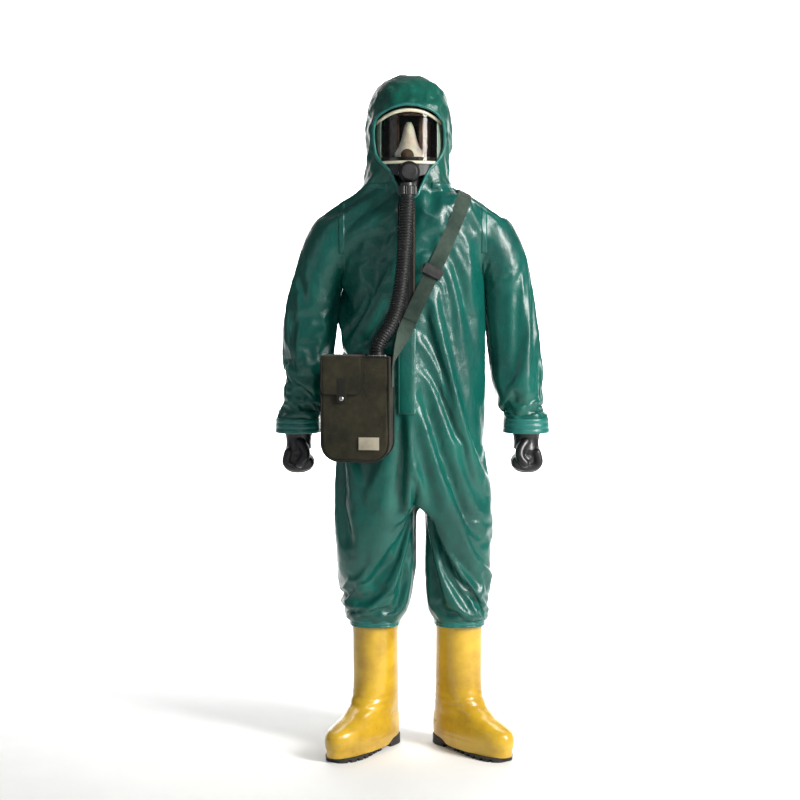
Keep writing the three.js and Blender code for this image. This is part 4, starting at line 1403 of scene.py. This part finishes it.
hose()
hose_nut("hose_nut_top", PLASTIC, "black_plastic", HOSE_ROUTE[0], 1459, 1481)
hose_nut("hose_nut_bottom", STEEL, "steel", HOSE_ROUTE[-1], 1034, 1056)


# ---------- Bag and strap ----------
def bag_place(obj):
    """Moves a mesh drawn about the bag's back, in its own directions, to where the bag hangs."""
    move = Matrix.Translation(Vector((BAG_BACK[0], BAG_BACK[1] + BODY_Y, 0)) * 0.001)
    move = move @ Matrix.Rotation(BAG_TURN, 4, "Z") @ Matrix.Translation(Vector((0, -BODY_Y * 0.001, 0)))
    obj.data.transform(move)
    return obj


def rounded_face(y, inset=0.0, low_r=45.0, top_r=4.0, steps=10):
    """The bag's front outline at one depth, as points round it."""
    h = BAG_WIDTH / 2 - inset
    z0, z1 = BAG_BOTTOM + inset, BAG_TOP - inset
    low_r, top_r = max(low_r - inset, 2), max(top_r - inset, 1)
    ring = []
    for cx, cz, r, a0 in (
        (h - low_r, z0 + low_r, low_r, -90), (h - top_r, z1 - top_r, top_r, 0),
        (-h + top_r, z1 - top_r, top_r, 90), (-h + low_r, z0 + low_r, low_r, 180),
    ):
        for a in np.linspace(a0, a0 + 90, steps):
            ring.append((cx + r * math.cos(math.radians(a)), y, cz + r * math.sin(math.radians(a))))
    return ring


def bag_body():
    rows = [(0, 3), (-3, 0)] + [(-y, 0) for y in np.linspace(8, BAG_DEPTH - 8, 14)]
    rows += [(3 - BAG_DEPTH, 0), (-BAG_DEPTH, 3)]
    body = remeshed(loft("bag_shell", [rounded_face(y, inset) for y, inset in rows]), 0.004, 3)
    co = verts_of(body) * 1000
    for i, (x, y, z) in enumerate(co):
        front = min(1.0, max(0.0, (-(y - BODY_Y) - 55) / 25))
        sag = math.exp(-(((z - 862) / 60) ** 2))
        pucker = noise.noise(Vector((x, y, z * 0.6)) * 0.026) + 0.4 * noise.noise(Vector((x, y, z)) * 0.07)
        co[i, 1] -= front * (2.6 * sag + 2.4 * pucker)
        co[i, 0] += 1.6 * noise.noise(Vector((z, x, y)) * 0.024) * (1 - front)
    set_verts(body, co * 0.001)
    body.data.shade_smooth()
    finish_piece(bag_place(body), OLIVE, "suit", "olive_canvas", "bag_body")
    for y in (-1.5, -BAG_DEPTH + 1.5):
        ring = rounded_face(y, -0.6, steps=12)
        piping = tube("bag_piping", ring, 2.6, 8, wrap=True)
        finish_piece(bag_place(piping), OLIVE_EDGE, "suit", "olive_canvas")


def bag_flap(x0, x1):
    """The flap from its hinge over the bag's top and down its front, with binding round its free edges."""
    over, front = BAG_DEPTH + 5.0, BAG_DEPTH + 5.9
    path = [
        (-0.5, BAG_TOP + 1.9), (-30, BAG_TOP + 2.6), (-60, BAG_TOP + 2.6), (-88, BAG_TOP + 1.6),
        (-over, BAG_TOP - 2), (-93.8, BAG_TOP - 8), (-front, BAG_TOP - 40), (-front, BAG_TOP - 84),
        (-93.4, BAG_TOP - 93),
    ]
    line = np.array([(0, y, z) for y, z in resample(path, 4)])
    last = len(line)
    along = np.gradient(line, axis=0)
    along /= np.linalg.norm(along, axis=1)[:, None]
    out = np.cross((1, 0, 0), along) * -1
    rings = []
    for k, (p, o) in enumerate(zip(line, out)):
        trim = 14 * max(0, (k - last + 6) / 5) ** 2
        u = np.clip(np.linspace(x0, x1, 14), x0 + trim, x1 - trim)
        rings.append([p + (x, 0, 0) + o * 1.3 for x in u] + [p + (x, 0, 0) - o * 1.3 for x in u[::-1]])
    flap = loft("bag_flap_cloth", rings)
    finish_piece(bag_place(flap), OLIVE, "bag_flap", "olive_canvas", "bag_flap")
    edge = [p + (x0 + 1 + 12 * max(0, (k - last + 6) / 5) ** 2, 0, 0) for k, p in enumerate(line)]
    edge += [line[-1] + (x, 0, 0) for x in np.linspace(x0 + 16, x1 - 16, 6)]
    edge += [p + (x1 - 1 - 12 * max(0, (5 - k) / 5) ** 2, 0, 0) for k, p in enumerate(line[::-1])]
    binding = tube("bag_flap_binding", edge, 2.0, 8, up=(1, 0, 0))
    finish_piece(bag_place(binding), OLIVE_EDGE, "bag_flap", "olive_canvas")


def bag_fittings(middle):
    tab = box("bag_closure_tab", (24, 2.2, 62), (middle, -BAG_DEPTH - 6.6, BAG_TOP - 84), 0.8)
    finish_piece(bag_place(tab), OLIVE_EDGE, "bag_flap", "olive_canvas")
    stud = [(middle, -BAG_DEPTH - 7.6 - d, BAG_TOP - 104) for d in (0, 1.2, 1.6)]
    snap = tube("bag_snap", stud, [6, 5.6, 3.5], 24)
    finish_piece(bag_place(snap), STEEL, "bag_flap", "steel")
    patch = box("bag_label_patch", (52, 1.4, 32), (36, -BAG_DEPTH - 4.0, BAG_BOTTOM + 45), 0.5)
    finish_piece(bag_place(patch), PATCH, "suit", "tan_patch", "bag_patch")


def strap():
    def on_bag(side, off, y, z):
        p = Vector((side * (BAG_WIDTH / 2 + off + 1.2), y, 0))
        p.rotate(Matrix.Rotation(BAG_TURN, 3, "Z"))
        return np.array((p.x + BAG_BACK[0], p.y + BAG_BACK[1], z))

    n = Vector((1, 0, 0))
    n.rotate(Matrix.Rotation(BAG_TURN, 3, "Z"))
    n = np.array(n)
    front = [on_bag(1, 1.2, -26, 974), on_bag(1, 1.2, -26, 994), on_bag(1, 5, -26, 1046)]
    back = [on_bag(-1, 4, -2, 1007), on_bag(-1, 1.6, -34, 1004), on_bag(-1, 1.2, -60, 1002)]
    points = np.vstack([front, strap_path[3:-1], back])
    facing = np.vstack([[n] * 3, strap_facing[3:-1], [-n] * 3])
    path = resample(points, 3)
    face = resample(facing, 3)
    face /= np.linalg.norm(face, axis=1)[:, None]
    obj = band("shoulder_webbing", path, face, 38, 2.2)
    edges_split(obj, 50)
    finish_piece(obj, WEB, "suit", "webbing", "shoulder_strap")


bag_body()
FLAP_LEFT, FLAP_RIGHT = -BAG_WIDTH / 2, -BAG_WIDTH / 2 + 104
bag_flap(FLAP_LEFT, FLAP_RIGHT)
bag_fittings((FLAP_LEFT + FLAP_RIGHT) / 2)
strap()


# ---------- Stage, light and camera ----------
def stage():
    """A floor that curves up into a wall behind."""
    far, bend, wide = 5200, 1400, 9000
    profile = [(-wide, 0), (far, 0)]
    profile += [(far + bend * math.sin(a), bend - bend * math.cos(a)) for a in np.linspace(0.1, math.pi / 2, 16)]
    profile += [(far + bend, 6000)]
    points, faces = [], []
    for y, z in profile:
        points += [(-wide, y, z), (wide, y, z)]
    for i in range(len(profile) - 1):
        faces.append((2 * i, 2 * i + 1, 2 * i + 3, 2 * i + 2))
    floor = make("floor", points, faces)
    mat = material("floor_paper", (0.82, 0.82, 0.81), 0.8)
    k = Nodes(mat)
    k.colour(k.noise(3, 3, 0.5), (0.8, 0.8, 0.79), (0.84, 0.84, 0.83))
    k.bumps((k.noise(180, 3, 0.6), 0.0004, 0.15))
    floor.data.materials.append(mat)


def light(name, place, aim, size, power, color=(1, 1, 1), spread=180):
    data = bpy.data.lights.new(name, "AREA")
    data.shape, data.size, data.size_y, data.energy, data.color = "RECTANGLE", size[0], size[1], power, color
    data.spread = math.radians(spread)
    obj = linked(name, data)
    obj.location = place
    obj.rotation_euler = (Vector(aim) - Vector(place)).to_track_quat("-Z", "Y").to_euler()


stage()
light("key", (2.6, -2.0, 2.2), (0, 0, 1.0), (0.9, 1.8), 210, (1, 0.99, 0.96))
light("fill", (-2.8, -2.2, 1.6), (0, 0, 0.9), (1.6, 1.8), 9, (0.8, 0.93, 1.0))
light("front", (0.9, -3.6, 2.8), (0, 0, 1.1), (1.4, 1.0), 26)
light("backdrop", (0, 4.9, 4.4), (0, 6.6, 1.0), (7.0, 0.8), 560, spread=110)
light("backdrop_floor", (0, 2.9, 4.4), (0, 3.0, 0), (6.0, 2.4), 170, spread=80)

world = bpy.data.worlds.new("studio")
bpy.context.scene.world = world
world.use_nodes = True
world.node_tree.nodes["Background"].inputs["Color"].default_value = (0.93, 0.96, 1.0, 1)
world.node_tree.nodes["Background"].inputs["Strength"].default_value = 0.16

camera = linked("camera", bpy.data.cameras.new("camera"))
camera.data.lens = 79.5
camera.data.sensor_width = 36
camera.location = (-0.033, -4.6, 1.27)
camera.rotation_euler = (math.radians(90 - 4.22), 0, 0)
scene = bpy.context.scene
scene.camera = camera
scene.view_settings.view_transform = "Standard"
scene.view_settings.look = "None"
scene.view_settings.exposure = 0.0
